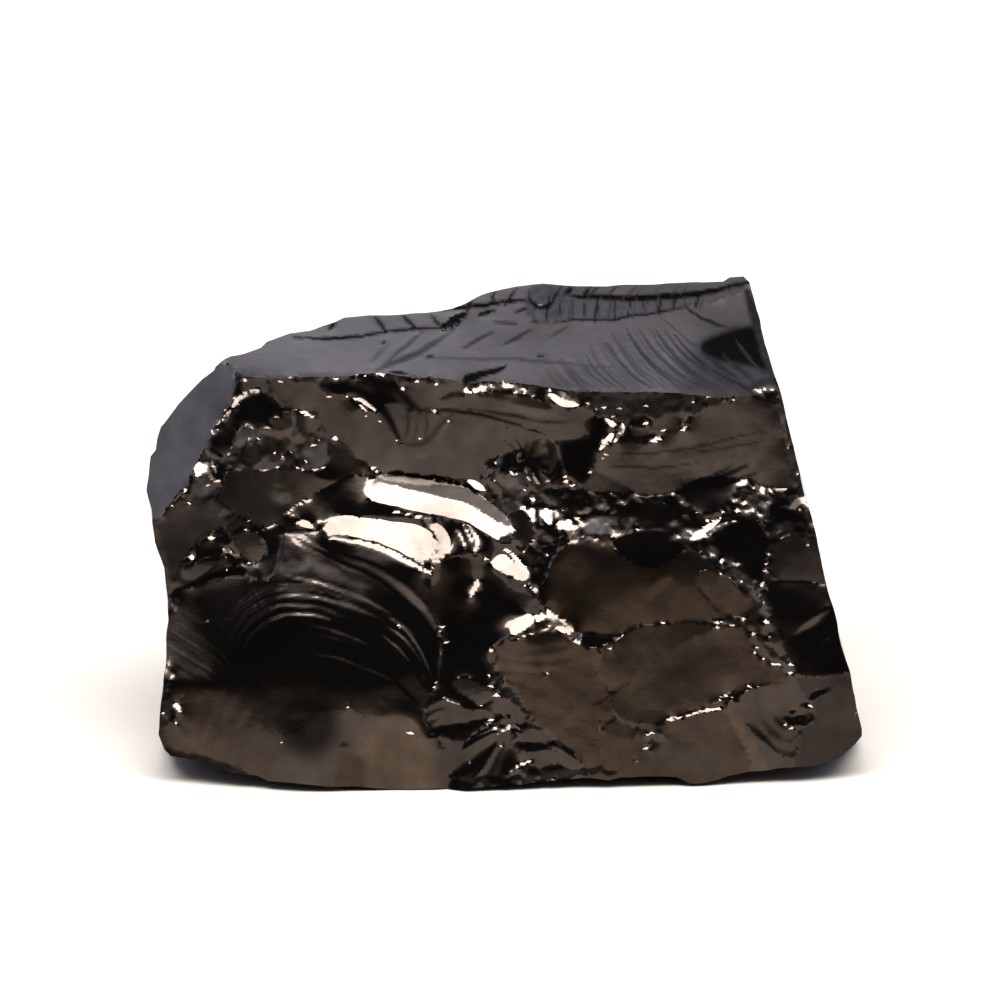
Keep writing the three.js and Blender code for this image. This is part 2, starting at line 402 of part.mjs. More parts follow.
const sideOut = new THREE.Vector3(0.971, 0.237, -0.09).normalize();
const sideAcross = new THREE.Vector3(0.088, 0, 0.971).normalize();
const side = reliefBlock({
  scars: SIDE_SCARS, from: [-32, -32], to: [32, 32], step: SIDE_STEP, floor: -70,
  axes: [sideAcross, sideAcross.clone().cross(sideOut), sideOut],
}).translate(25, 15.2, 2).applyMatrix4(across);

let body = solid(profile);
for (const block of [face, top, back, end, side, foot]) {
  body = body.intersect(solid(block));
}

const geometry = geometryOf(body);
geometry.computeBoundingBox();
const box = geometry.boundingBox;
const size = box.getSize(new THREE.Vector3());
geometry.translate(-(box.min.x + box.max.x) / 2, -(box.min.y + box.max.y) / 2, -box.min.z);
geometry.scale(LENGTH / size.x, LENGTH / size.x, LENGTH / size.x);
geometry.computeVertexNormals();

const shungite = new THREE.MeshStandardMaterial({ color: 0x1b1718, roughness: 0.12, metalness: 0.1 });
const stone = new THREE.Mesh(geometry, shungite);
stone.name = 'shungite_block';

const group = new THREE.Group();
group.add(stone);

export default group;
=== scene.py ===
"""Shungite specimen: the finely broken surface, its material, the light and the camera."""
import math
import bpy
import numpy as np
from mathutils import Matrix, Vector


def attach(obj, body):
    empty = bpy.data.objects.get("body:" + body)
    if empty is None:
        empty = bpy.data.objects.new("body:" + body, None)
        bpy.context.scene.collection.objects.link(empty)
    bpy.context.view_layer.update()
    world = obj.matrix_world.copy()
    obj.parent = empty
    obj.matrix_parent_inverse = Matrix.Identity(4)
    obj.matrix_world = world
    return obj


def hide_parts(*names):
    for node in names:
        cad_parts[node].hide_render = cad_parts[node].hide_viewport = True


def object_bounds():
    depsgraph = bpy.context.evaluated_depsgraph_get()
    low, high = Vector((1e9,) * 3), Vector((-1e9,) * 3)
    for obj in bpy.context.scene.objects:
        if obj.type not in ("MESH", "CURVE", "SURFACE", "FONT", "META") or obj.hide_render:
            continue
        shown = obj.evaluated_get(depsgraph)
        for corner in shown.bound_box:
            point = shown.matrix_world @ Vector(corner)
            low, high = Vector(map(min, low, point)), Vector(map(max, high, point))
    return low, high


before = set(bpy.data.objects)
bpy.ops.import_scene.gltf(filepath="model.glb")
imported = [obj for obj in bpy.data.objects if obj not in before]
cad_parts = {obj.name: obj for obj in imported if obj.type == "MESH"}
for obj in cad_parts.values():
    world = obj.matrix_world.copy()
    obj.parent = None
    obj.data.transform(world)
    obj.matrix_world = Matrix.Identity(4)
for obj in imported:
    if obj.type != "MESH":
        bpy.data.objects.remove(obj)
cad_low, cad_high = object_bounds()

# Lengths are in millimetres up to the place where the stone is set into the frame.
MM = 0.001
X = np.array([1.0, 0, 0])
Y = np.array([0, 1.0, 0])
Z = np.array([0, 0, 1.0])

# The axes of the broken face: u along X, v up the face, and the height out of it.
FACE_LEAN = math.radians(20)  # back from upright
FACE_FOOT = 4.8  # v at the origin
FACE_UP = np.array([0, math.sin(FACE_LEAN), math.cos(FACE_LEAN)])
FACE_OUT = np.array([0, -math.cos(FACE_LEAN), math.sin(FACE_LEAN)])
FACE_ORIGIN = -FACE_FOOT * FACE_UP
FACE_AXES = (X, FACE_UP, FACE_OUT)
# The left end looks outwards to the left and back.
END_ALONG, END_OUT = np.array([-0.638, -0.77, 0]), np.array([-0.77, 0.638, 0])

FACE_STEP = 0.17  # grid spacing on the broken face
SIDE_STEP = 0.6  # grid spacing on the back and the ends
FOOT_STEP = 2  # grid spacing underneath
RING_STEP = 0.45  # spacing of the points round the outline of the stone
LAYER_STEP = 0.9  # spacing of the rings through the stone
DEEP = 40  # past the stone in any direction
FAR = 1e3  # height of a scar where it doesn't count

FLASH = 0.44  # slope up the face that mirrors the light
BLACK = 0.02  # slope that mirrors the dark under the light
PLAIN = (0, -0.25)  # slope where nothing is painted
FACE_WANDER = 0.07  # unevenness of the outlines on the broken face
SIDE_WANDER = 0.5  # unevenness of the outlines on the other sides
MARGIN = 0.4  # how far round a part its points are looked for
LINE_SOFT = 0.1  # how soft the edge of a line is, where it doesn't say
CLOSE_HOLD = 7  # how much more closely the surface keeps to a bright slope
LOOSE_HOLD = 0.6  # and how much less closely to a dark one
SEAM = 0.09  # half-width of the loose seam round a hard outline
SCAR_REACH = 3.5  # how far outside its outline a scar's wall goes on
WALL_SLOPE = 1.2  # rise of that wall per millimetre

GUIDE_REACH = 3.2  # how far a guide height is felt
FACE_TIE = 0.0004  # how firmly the face keeps to its guide heights
TOP_TIE = 0.003  # how firmly the flat top does, at its front
REAR_TIE = 0.06  # and how much more firmly at its rear

SHARP = math.radians(22)  # edges sharper than this aren't smoothed
FRONT = 0.12  # the finishes lie where the surface faces the front at least this much
KEY_HEIGHT = math.radians(66)  # of the key light, up from the floor in front of the stone
KEY_DIRECTION = (0, -math.cos(KEY_HEIGHT), math.sin(KEY_HEIGHT))

HACKLES = 17  # fine lines on the left of the dome
RIPPLES = 8  # faint arcs over the dark upper left of the dome
FEATHERS = 38  # fine lines that curve back from the front edge of the top
FLUTES = 26  # dark flutes under its rear ledge
REAR_FEATHERS = 9  # short lines behind that ledge


def part(name, **look):
    """One painted part, described by the values that it has."""
    return {"name": name, **look}


# The broken face, painted from back to front. A part has an "outline" of points (u, v), or a "line"
# with its half-width "width". Its values are:
# - fall: the slope along u and v. Away from the point "at" it turns by "bend" per millimetre (to the
#   left, right, below and above) and by "twist". lift: slope added across a line, for a small crest.
# - soft: the width over which it blends into the parts beneath. firm: how closely the surface keeps to
#   its slope. A hard outline has a loose seam round it, unless it is "joined".
# - grit: the size and tilt of small facets. rays and arcs: centre u and v, spacing and tilt.
# - satin, powder, warm: how much there is of that finish. dull: less reflection, for dull breaks and as
#   painted shade; below 0, more reflection, as painted shine.
# - shade: painted shade, laid into dull over parts that keep their own slope.
FACE = [
    part("dome", at=(-15, 9), fall=(0, 0.02), bend=(0.035, 0.05, 0.038, 0.008), outline=[
        (-29, 15.4), (-25, 15.2), (-22.5, 16.2), (-20.2, 16.6), (-19, 16), (-17.6, 16.2), (-17.2, 19.8),
        (-16, 19.9), (-13.9, 19.9), (-12, 19.6), (-10, 19.1), (-8.5, 18.5), (-7, 17.8), (-5.6, 16.9),
        (-5.7, 15), (-5.6, 13.5), (-5, 12), (-4.8, 10.5), (-4.9, 9), (-5.4, 7.6), (-6.3, 6.2), (-6, 5),
        (-5, 3.9), (-4.2, 2.5), (-4.2, -3), (-29, -3)]),
    part("dome foot", fall=(0.08, -0.4), soft=1.6, satin=0.5, dull=-0.35, warm=0.8, outline=[
        (-12.8, 1.2), (-12.5, 2.9), (-11.6, 4.1), (-10.5, 4.9), (-9, 5.6), (-7.2, 5.6), (-6.3, 4.9),
        (-5.2, 3.2), (-4.9, 1.2), (-5, -1), (-12.8, -1)]),
    part("dome notch", fall=(0, 0.05), soft=0.3, outline=[
        (-12.7, 3.4), (-12.1, 4.4), (-11.4, 4.1), (-11.5, 3.2), (-12.2, 3)]),
    part("foot shade", shade=0.05, soft=1, outline=[
        (-13.2, -0.5), (-13, 2.6), (-11.6, 3), (-10.6, 2), (-10.6, -0.5)]),
    part("left foot", fall=(-0.12, -0.25), soft=1.6, arcs=(-14.5, 2.8, 1.1, 0.05), satin=0.8, dull=0.02,
         warm=0.6,
         outline=[(-29, 8), (-24.5, 8), (-21.5, 7.8), (-19.8, 6.4), (-18.6, 4.6), (-18, 2.5), (-18, -3),
                  (-29, -3)]),
    part("left shade", shade=0.4, soft=1.6, outline=[
        (-27, 14.2), (-23.5, 14.4), (-21.8, 12.5), (-21.4, 9.4), (-23, 7.6), (-27, 7.4)]),
    part("dark foot", shade=0.66, soft=2, outline=[
        (-16.8, 3.2), (-17.6, 5.6), (-16.4, 7.6), (-12.8, 7.2), (-12.9, 4.6), (-13.4, 3.2), (-15, 2.6)]),
    part("left rim", fall=(0, -0.17), soft=0.3, outline=[
        (-29, 3.8), (-26, 3.3), (-25.2, 2.9), (-24, 2.85), (-22.5, 2.4), (-21, 2), (-19.5, 1.5),
        (-18.4, 1.1), (-17.5, -2), (-29, -2)]),
    part("edge pit", at=(-25.6, 5.8), fall=(0, 0.1), bend=(-0.3, -0.3, -0.3, -0.3), outline=[
        (-26.1, 5.8), (-25.9, 6.3), (-25.4, 6.4), (-25, 6), (-25.1, 5.5), (-25.6, 5.3)]),
    part("pit rim", fall=(0, FLASH), width=0.18, line=[(-25.6, 6.7), (-25.1, 6.5), (-24.9, 6)]),
    part("left strip", fall=(-0.35, -0.26), satin=0.8, outline=[
        (-29, 22.6), (-26.3, 21.2), (-25.4, 20), (-25.2, 17.5), (-25.5, 15.4), (-25.9, 14.2), (-29, 14)]),
    part("left middle", at=(-23, 20.5), fall=(-0.1, -0.27), twist=0.01, satin=0.8, outline=[
        (-27, 20.6), (-26.3, 21.2), (-25, 22.4), (-23, 22.6), (-21.5, 21.9), (-20.2, 20.9), (-21.4, 20),
        (-22.2, 20.1), (-23.2, 19.3), (-24.2, 18.4), (-24.9, 17.3), (-25.6, 15.6), (-26, 18)]),
    part("left lens", fall=(0.1, -0.36), outline=[
        (-22.2, 21.1), (-21.4, 21.8), (-20.7, 21.8), (-20.5, 21.3), (-21.4, 20.9)]),
    part("left pit", at=(-22.6, 18.5), fall=(0.05, -0.16), bend=(-0.1, -0.1, -0.1, -0.1), outline=[
        (-24, 17.9), (-23.2, 19), (-22.3, 20), (-21.4, 19.8), (-21.4, 18.6), (-21.9, 17.6), (-22.8, 17.3),
        (-23.7, 17.3)]),
    part("left scallop", at=(-23.5, 16.8), fall=(0, -0.33), bend=(0.1, 0.1, 0.1, 0.1), outline=[
        (-25, 16.9), (-24, 17.3), (-22.8, 17.8), (-21.9, 17.4), (-22.6, 16.7), (-23.8, 16.1),
        (-24.8, 16)]),
    part("left cleft", fall=(0.3, 0.05), grit=(0.35, 0.4), outline=[
        (-22.1, 20.2), (-21.2, 20), (-21, 19.2), (-20.5, 18.3), (-20, 17.6), (-20.3, 16.9), (-21.4, 17.4),
        (-21.6, 18.8), (-22, 19.6)]),
    # Painted shade along the seam above the dome.
    part("left seam", shade=0.95, width=0.4, soft=0.3, line=[
        (-25.4, 15.2), (-23.6, 15.8), (-22, 16.4), (-20.4, 16.8), (-19, 16.5), (-18, 16.5)]),
    part("dome corner shade", shade=0.84, soft=1.8, outline=[
        (-24.6, 15), (-22, 15.8), (-20.5, 16.5), (-19, 16.8), (-17.4, 17), (-16.2, 15.4), (-15.4, 12),
        (-18, 10), (-22.2, 9.6), (-23.4, 12)]),
    part("gap shade", shade=0.9, width=0.45, soft=0.4, line=[
        (-18.2, 16.4), (-17.9, 17.8), (-17.6, 19.4)]),
    part("pentagon", at=(-19.6, 18.7), fall=(0.05, -0.3), twist=-0.02, firm=2, outline=[
        (-21, 19.3), (-20.3, 19.9), (-19.4, 20), (-18.8, 19.7), (-18.7, 19.2), (-18.1, 18.6),
        (-18.5, 17.9), (-19.2, 17.3), (-20, 17.6), (-20.7, 18.3)]),
    part("black gap", fall=(0.1, 0.06), outline=[
        (-18.9, 19.9), (-18.2, 20.2), (-17, 20.4), (-16.9, 19.8), (-17.2, 18.7), (-17.4, 17.3),
        (-17.8, 16.2), (-19, 16), (-20.2, 16.6), (-20, 17.4), (-19.2, 17.2), (-18.5, 17.8), (-18, 18.6),
        (-18.6, 19.2)]),
    part("seam shade", shade=0.85, soft=0.4, outline=[
        (-21.2, 16.6), (-20.4, 17.2), (-19.2, 17.3), (-18.4, 16.6), (-18.6, 15.6), (-20.4, 15.8)]),
    part("upper left hollow", at=(-19, 22.5), fall=(0, -0.21), twist=-0.03, satin=1, outline=[
        (-21, 24.7), (-19.5, 24.5), (-18, 24.6), (-16.5, 24.9), (-15, 24.4), (-13.5, 23.8), (-12.7, 23.9),
        (-15, 22.4), (-17, 20.9), (-17.5, 20.4), (-18.6, 20.1), (-20.3, 20.9), (-21.5, 21.8),
        (-22.2, 22.6), (-21.6, 23.6)]),
    part("pale patch", fall=(0, -0.34), soft=0.8, powder=0.75, outline=[
        (-17.7, 23.4), (-16.8, 24), (-15.9, 23.5), (-15.6, 22.7), (-16.3, 22), (-17.3, 22),
        (-17.9, 22.7)]),
    part("glinting corner", fall=(-0.1, -0.2), grit=(0.4, 0.35), powder=0.3, outline=[
        (-22.9, 26.3), (-21.8, 25.6), (-21.1, 25.9), (-20.9, 24.7), (-21.6, 23.6), (-22.2, 22.6),
        (-23, 22.3), (-25, 22.3), (-24.3, 23.5), (-23.8, 24.6), (-23.4, 25.6)]),
    part("corner scallop", fall=(0.05, -0.32), soft=0.4, powder=0.6, outline=[
        (-24.2, 23.1), (-23.9, 23.9), (-23.3, 23.9), (-22.9, 23.4), (-22.8, 22.6), (-23.3, 22.1),
        (-24, 22.3)]),
    part("corner flash", fall=(-0.1, FLASH), outline=[
        (-23.85, 24.1), (-23.7, 24.8), (-23.4, 25.35), (-23.15, 25), (-23.2, 24.3), (-23.5, 24)]),
    part("stripe", fall=(0.05, FLASH), width=0.15, line=[
        (-22.85, 25.3), (-22.75, 24.6), (-22.5, 24), (-22.2, 23.7), (-21.8, 23.65)]),
    part("second stripe", fall=(0.05, FLASH), width=0.14, line=[
        (-22.55, 25.4), (-22.4, 24.9), (-22.15, 24.4)]),
    part("left bevel", at=(-24, 26), fall=(-0.9, 0.2), bend=(0, 0, 0.03, 0), outline=[
        (-22, 33.2), (-21.2, 32.4), (-20.6, 31.7), (-20.6, 31), (-20.9, 30), (-21.2, 29.3), (-21.8, 28.8),
        (-22.3, 27.8), (-22.6, 27), (-23, 26.4), (-23.5, 25.6), (-23.9, 24.6), (-24.3, 23.5), (-25, 22.5),
        (-26.2, 21.2), (-27.2, 20.8), (-30, 20.4), (-30, 37), (-22, 37)]),
    part("upper left", at=(-17, 31), fall=(0, -0.3), bend=(0.02, 0, 0.05, 0.05), outline=[
        (-20.6, 36), (-14.2, 36), (-14.1, 30.9), (-14.2, 30.2), (-14.7, 30), (-15, 29.2), (-16.8, 28.9),
        (-17.4, 29.8), (-18.2, 30.7), (-19, 30.8), (-20, 30.4), (-20.8, 29.6), (-20.9, 30.3)]),
    part("crumbled field", fall=(0.05, -0.3), grit=(0.6, 0.3), satin=0.6, powder=0.35, outline=[
        (-21.3, 25.5), (-20.8, 26.6), (-20.4, 27.9), (-19.2, 28.1), (-17.8, 27.8), (-18.2, 28.3),
        (-17.3, 28.7), (-16.8, 29), (-15.9, 29.2), (-15, 29), (-14.3, 28.3), (-13.9, 27.4), (-13.3, 27),
        (-13.8, 26), (-13.3, 25.1), (-14.4, 24.4), (-16.5, 24.9), (-18, 24.6), (-19.5, 24.5),
        (-20.9, 24.7)]),
    part("shelf", fall=(0.15, -0.33), outline=[
        (-16.2, 29.3), (-15.4, 29.2), (-14.5, 28.6), (-14.1, 27.9), (-14.6, 27.3), (-15.6, 27.2),
        (-16, 28)]),
    part("field scallop", fall=(-0.1, -0.3), outline=[
        (-20.3, 26.6), (-19, 26.7), (-18.5, 26), (-18.7, 25.1), (-19.6, 24.8), (-20.3, 25.2)]),
    part("crater", at=(-20, 28.8), fall=(0.05, 0.08), bend=(-0.05, -0.05, -0.05, -0.05), dull=0.5,
         outline=[(-20.9, 29.5), (-20, 30.25), (-19, 30.65), (-18.3, 30.55), (-17.6, 30.2), (-17.2, 29.5),
                  (-16.8, 29), (-17.2, 28.7), (-18, 28.5), (-18.3, 28.2), (-17.8, 27.7), (-18.8, 27.7),
                  (-19.6, 27.9), (-20.4, 28), (-20.6, 27), (-21, 26.3), (-21.1, 25.6), (-21.8, 25.6),
                  (-22.5, 25.8), (-22.8, 26.1), (-22.6, 26.8), (-22.2, 27.4), (-21.9, 28.3),
                  (-21.5, 29)]),
    part("crater rim", fall=(-0.05, FLASH), firm=3, outline=[
        (-21.1, 29.3), (-20.7, 29.95), (-20.1, 30.45), (-19.4, 30.75), (-18.7, 30.85), (-18.8, 30.62),
        (-19.5, 30.45), (-20, 30.1), (-20.6, 29.5)]),
    part("crater side rim", fall=(-0.2, 0.5), width=0.22, grit=(0.3, 0.35), line=[
        (-22.5, 27.1), (-22.2, 27.8), (-21.8, 28.6), (-21.2, 29.2)]),
    part("field crescent", fall=(0.1, FLASH), width=0.16, firm=3, line=[
        (-15.75, 29.05), (-15.2, 28.95), (-14.7, 28.6)]),
    part("field strip", fall=(0.3, -0.3), width=0.16, soft=0.15, powder=0.7, line=[
        (-16.3, 28.95), (-16.2, 28.2), (-16.25, 27.4)]),
    part("small scallop", at=(-11.6, 28.2), fall=(0, -0.32), bend=(0.02, 0.04, 0.03, 0.03), outline=[
        (-14.2, 30.1), (-13.5, 30.25), (-12.5, 30.25), (-11.9, 30.2), (-11.2, 30), (-10.6, 29.6),
        (-10, 29.1), (-9.7, 28.7), (-9.2, 28.2), (-8.9, 27.5), (-8.3, 26.8), (-8.6, 26.1), (-9.5, 25.8),
        (-10.4, 25.3), (-11.2, 25.3), (-11.3, 26), (-11.7, 26.7), (-12.4, 27.05), (-13.4, 27.2),
        (-13.9, 28), (-14, 29), (-14.3, 29.6)]),
    part("scallop shadow", fall=(0.2, 0.05), soft=0.25, outline=[
        (-13.7, 26.9), (-12.6, 27), (-11.8, 26.6), (-11.3, 25.8), (-11.2, 24.8), (-11.8, 24.1),
        (-13.4, 23.7), (-14.6, 24), (-14.2, 24.7), (-13.3, 25.3), (-13.6, 26)]),
    part("scallop rim", fall=(0.1, FLASH), width=0.17, firm=3, line=[
        (-11.8, 30.15), (-11, 29.95), (-10.4, 29.6), (-9.9, 29.05)]),
    part("second scallop rim", fall=(0.1, FLASH), width=0.11, line=[
        (-11.15, 29.6), (-10.8, 29.4), (-10.45, 29.15)]),
    part("white bead", fall=(0, FLASH), outline=[
        (-13.3, 27), (-13, 27.25), (-12.75, 27.1), (-12.8, 26.85), (-13.1, 26.8)]),
    part("upper band", at=(-11.5, 31), fall=(0.1, 0.06), bend=(0.03, 0.03, 0, 0),
         rays=(-14, 20, 0.05, 0.12),
         outline=[(-14.2, 36), (-14.1, 31), (-13.9, 30.4), (-12, 30.4), (-11, 30.2), (-10.2, 29.6),
                  (-9.5, 28.9), (-9, 28.2), (-8.5, 27.3), (-8, 26.6), (-7.8, 27.5), (-8.1, 29),
                  (-8.2, 30.8), (-8.1, 36)]),
    part("band facet", fall=(0.1, -0.3), outline=[
        (-9.6, 29.3), (-8.7, 29.9), (-8, 29.4), (-7.7, 28.6), (-7.9, 27.4), (-8.3, 27.2), (-8.9, 28)]),
    part("corner facet", at=(-6, 30.6), fall=(0.05, -0.31), bend=(0, 0, 0.06, 0), outline=[
        (-8.1, 36), (-8.2, 30.8), (-7.4, 30.3), (-7, 29.7), (-6.5, 29.3), (-6, 29.5), (-5.2, 30),
        (-4.3, 30.3), (-3.6, 30.8), (-3.4, 31.4), (-3.4, 36)]),
    part("fluted facet", fall=(0.05, -0.28), rays=(-5.8, 38, 0.03, 0.28), outline=[
        (-7.8, 29.2), (-6.2, 29.2), (-5.3, 29.1), (-4.8, 28.8), (-3.7, 28.8), (-4.6, 27.7), (-5.2, 26.7),
        (-6, 26.2), (-7, 26.4), (-7.9, 26.9)]),
    part("upper centre", at=(-4, 26), fall=(0, -0.32), bend=(0.01, 0.01, 0.01, 0.01), outline=[
        (-10.2, 24.3), (-8.2, 24.3), (-5.8, 23.95), (-2.5, 24.1), (-1.5, 24.3), (-1.2, 24.9),
        (-0.9, 25.6), (-0.2, 26.3), (0.4, 27.7), (-0.4, 28.2), (-1.5, 28.5), (-3.7, 28.9), (-4.6, 27.7),
        (-5.2, 26.7), (-6, 26.3), (-7, 26.4), (-7.8, 26), (-8.4, 25.4), (-9.4, 25.8), (-10.2, 25.2)]),
    part("pale wedge", fall=(0.05, -0.35), soft=0.25, powder=0.55, outline=[
        (-6.8, 25.6), (-6.2, 25.3), (-5.4, 26), (-4.9, 26.9), (-4.3, 28), (-3.7, 28.7), (-4, 28.7),
        (-4.7, 28), (-5.3, 27.1), (-5.9, 26.3)]),
    part("pale line", fall=(0.05, -0.35), width=0.14, powder=0.6, line=[
        (-5.9, 29.2), (-5.2, 29.6), (-4.5, 30), (-4, 30.25)]),
    part("band shade", shade=0.85, width=0.34, soft=0.4, line=[
        (-14, 31.1), (-12.4, 31), (-11, 30.6), (-10, 29.9), (-9.2, 29), (-8.6, 28), (-8.1, 26.9)]),
    part("corner shade", shade=0.8, width=0.3, soft=0.5, line=[
        (-8.6, 31.4), (-7.9, 30.5), (-7.2, 29.7), (-6.4, 29.1)]),
    part("flute shade", shade=0.5, width=0.13, soft=0.25, line=[(-7.7, 27), (-7.35, 27.8), (-7.3, 29)]),
    part("second flute shade", shade=0.35, width=0.1, soft=0.2, line=[
        (-6.9, 26.7), (-6.75, 27.6), (-6.8, 28.5)]),
    part("third flute shade", shade=0.4, width=0.1, soft=0.2, line=[
        (-6.1, 26.9), (-5.9, 27.8), (-5.9, 29)]),
    part("wedge shade", shade=0.5, width=0.16, soft=0.4, line=[
        (-8.2, 26.5), (-7.4, 26.6), (-6.4, 26.5), (-5.5, 27.2), (-4.9, 28), (-4, 28.8)]),
    part("long scar", at=(1, 29), fall=(-0.02, -0.3), bend=(0, 0, 0, 0.05), outline=[
        (-6.3, 29.4), (-5.2, 29.9), (-4.2, 30.3), (-3.5, 30.4), (-2, 30.25), (0, 30.1), (2, 29.9),
        (4, 29.4), (5.5, 29.2), (6.6, 29.1), (7.2, 28.8), (6.5, 28.4), (6.2, 27.8), (6.3, 27),
        (4.4, 26.9), (3.6, 27.2), (2.4, 27.6), (1, 28), (-0.5, 28.4), (-1.6, 28.7), (-3, 29), (-4, 29),
        (-5.2, 29.1)]),
    part("scar fold", fall=(0, 0.02), width=0.2, soft=0.25, line=[
        (-3.6, 30.1), (-3.5, 29.5), (-3, 29.2), (-2, 29.15), (-1, 29), (0, 28.8), (1, 28.7), (2, 28.45),
        (3, 28.25), (4.5, 28.2), (5.2, 28.4)]),
    part("scar shade", shade=0.8, width=0.16, soft=0.25, line=[
        (-6.2, 29.2), (-5.2, 29.15), (-4.2, 29.1), (-3, 29), (-1.6, 28.75), (0, 28.3), (1.4, 27.9)]),
    part("second scar fold", fall=(0, 0), width=0.14, soft=0.2, line=[
        (-0.6, 29.85), (1, 29.7), (2.5, 29.4), (4, 29.2), (5, 29.1)]),
    part("fold light", fall=(0, -0.36), width=0.2, soft=0.3, powder=0.4, line=[
        (0.5, 29.3), (2, 29.05), (3.5, 28.75), (4.8, 28.7)]),
    part("hook scar", at=(6, 26), fall=(0.05, 0.05), bend=(-0.06, -0.06, 0, 0.05), outline=[
        (3.8, 26.9), (4.5, 27.05), (6, 26.95), (6.4, 27.4), (6.1, 28), (6.4, 28.6), (7.2, 28.85),
        (7.8, 28.6), (8, 28), (7.9, 27.2), (7.3, 26.3), (7.05, 25.5), (6.8, 24.6), (6.4, 24), (6.1, 23.4),
        (5.6, 23.6), (4.8, 24.1), (4.4, 25), (4.2, 25.8)]),
    part("hook shade", shade=0.85, soft=0.5, outline=[
        (4.2, 26.7), (5.6, 26.7), (6.6, 27.1), (6.7, 28.2), (7.4, 28.4), (7.7, 27.8), (7.3, 26.5),
        (6.8, 25), (6.2, 23.8), (5.3, 24.1), (4.5, 25)]),
    part("funnel", at=(2.2, 25.6), fall=(0, 0.02), bend=(-0.2, -0.2, -0.2, -0.2),
         rays=(1.8, 25.2, 0.16, 0.5),
         outline=[(-0.1, 26.9), (0.1, 27.8), (1, 27.9), (2.4, 27.5), (3.6, 27.1), (4.1, 26.3), (4.2, 25),
                  (3.9, 24), (3, 23.5), (2.1, 23.6), (1.4, 24.4), (1.1, 25.5), (0.7, 26.1)]),
    part("funnel flank", fall=(0.35, -0.22), width=0.35, soft=0.3, line=[
        (3.5, 26.8), (3.9, 25.8), (3.8, 24.8), (3.4, 24)]),
    part("ball", at=(0.1, 25.1), fall=(0, 0.02), bend=(0.3, 0.3, 0.3, 0.12), outline=[
        (-0.9, 25.1), (-0.7, 25.6), (-0.2, 25.9), (0.5, 25.85), (1, 25.5), (1.1, 25), (0.8, 24.5),
        (0.1, 24.2), (-0.6, 24.5)]),
    part("ball light", fall=(0.3, 0.3), width=0.09, line=[(-1.2, 24.7), (-0.9, 25.2), (-0.5, 25.6)]),
    part("ball glint", fall=(-0.2, 0.4), width=0.09, line=[(0.9, 26.2), (1.15, 25.9), (1.2, 25.3)]),
    part("crumb shade", shade=0.6, soft=0.4, outline=[
        (1.3, 22.8), (1.4, 24.3), (2.2, 24.8), (3.3, 24.4), (3.3, 23.1)]),
    part("middle crumbs", fall=(-0.1, -0.2), grit=(0.4, 0.45), powder=0.35, outline=[
        (-1.6, 24.3), (0.1, 24.2), (1.4, 24.4), (2.1, 23.6), (2.4, 22.9), (1.8, 22.2), (1.5, 21),
        (0.4, 21.2), (-0.6, 22), (-1.4, 22.9)]),
    part("middle strip", fall=(-0.05, -0.28), satin=0.5, outline=[
        (0.2, 21.3), (1.7, 21.6), (2.2, 20.4), (2.6, 19.4), (3, 18.4), (1.9, 17.4), (1.3, 18.2),
        (0.8, 19.3), (0.5, 20.4)]),
    part("black wedge", fall=(0.05, 0.08), outline=[
        (-5.6, 23.95), (-2.7, 24.1), (-1.5, 24.2), (-1.4, 23.6), (-1.8, 22.95), (-3.2, 23.35),
        (-4.4, 23.7)]),
    part("wedge flash", fall=(0, FLASH), outline=[
        (-2.95, 23.75), (-2.4, 23.85), (-1.8, 23.6), (-1.4, 23.15), (-1.6, 22.95), (-2.2, 23.15),
        (-2.7, 23.5)]),
    part("grey band", at=(-5, 23), fall=(0.02, 0.74), bend=(0, 0, 0, 0.15), firm=5, outline=[
        (-10, 24.25), (-8.5, 24.3), (-6, 24), (-4.5, 23.65), (-3, 23.3), (-2, 22.9), (-1.4, 22.4),
        (-0.4, 21.6), (0.5, 20.6), (0.7, 19.6), (0, 19.8), (-1, 20.4), (-3, 21.8), (-6, 22.6), (-8, 23),
        (-9.2, 23.4)]),
    part("plate", at=(-13, 22.5), fall=(-0.1, 0.1), bend=(0.03, 0.03, 0.03, 0.03), outline=[
        (-16.8, 20.9), (-15, 22.4), (-12.7, 23.9), (-11, 24.3), (-10.2, 24.1), (-10.2, 22.3),
        (-12.9, 21.2), (-14, 20.2), (-15, 20.8)]),
    part("plate edge", fall=(0.05, 0.85), width=0.08, line=[(-16.9, 21), (-16, 21.7), (-15, 22.35)]),
    part("plate streak", fall=(0.05, FLASH), width=0.1, line=[
        (-12.6, 21.3), (-11.8, 21.55), (-11, 21.75)]),
    part("groove", at=(-6, 21), fall=(0, 0.1), bend=(0.01, 0.02, 0, 0), outline=[
        (-14.2, 20.2), (-12.9, 21.4), (-10.3, 22.6), (-8, 21.7), (-5, 21.1), (-3, 20.7), (-1, 19.4),
        (-0.2, 19), (0.9, 19), (1.5, 18.4), (0.4, 18.4), (-0.6, 18.3), (-1.1, 17.4), (-2.5, 18),
        (-4.3, 17.9), (-4.1, 18.8), (-5, 20.4), (-6.3, 20.9), (-9, 20.8), (-12, 21.1), (-13, 21)]),
    part("upper shoulder", at=(-5, 22), fall=(0.02, 0.43), bend=(0, 0, 0.02, 0.06), outline=[
        (-10.35, 23.2), (-9.95, 24.05), (-9.2, 23.65), (-8, 23.25), (-6, 22.85), (-4.5, 22.45),
        (-3, 22.05), (-2, 21.4), (-1, 20.7), (0, 20.15), (0.5, 19.8), (0.8, 19.4), (0.3, 18.95),
        (-0.3, 19.1), (-1, 19.4), (-2, 20.1), (-3, 20.7), (-5, 21.1), (-6.2, 21.3), (-8, 21.7),
        (-10, 22.1), (-10.4, 22.5)]),
    part("band shadow", shade=1, width=0.12, soft=0.14, line=[
        (-9.9, 24.3), (-8.5, 24.15), (-6, 24), (-4.5, 23.85), (-3.2, 23.5)]),
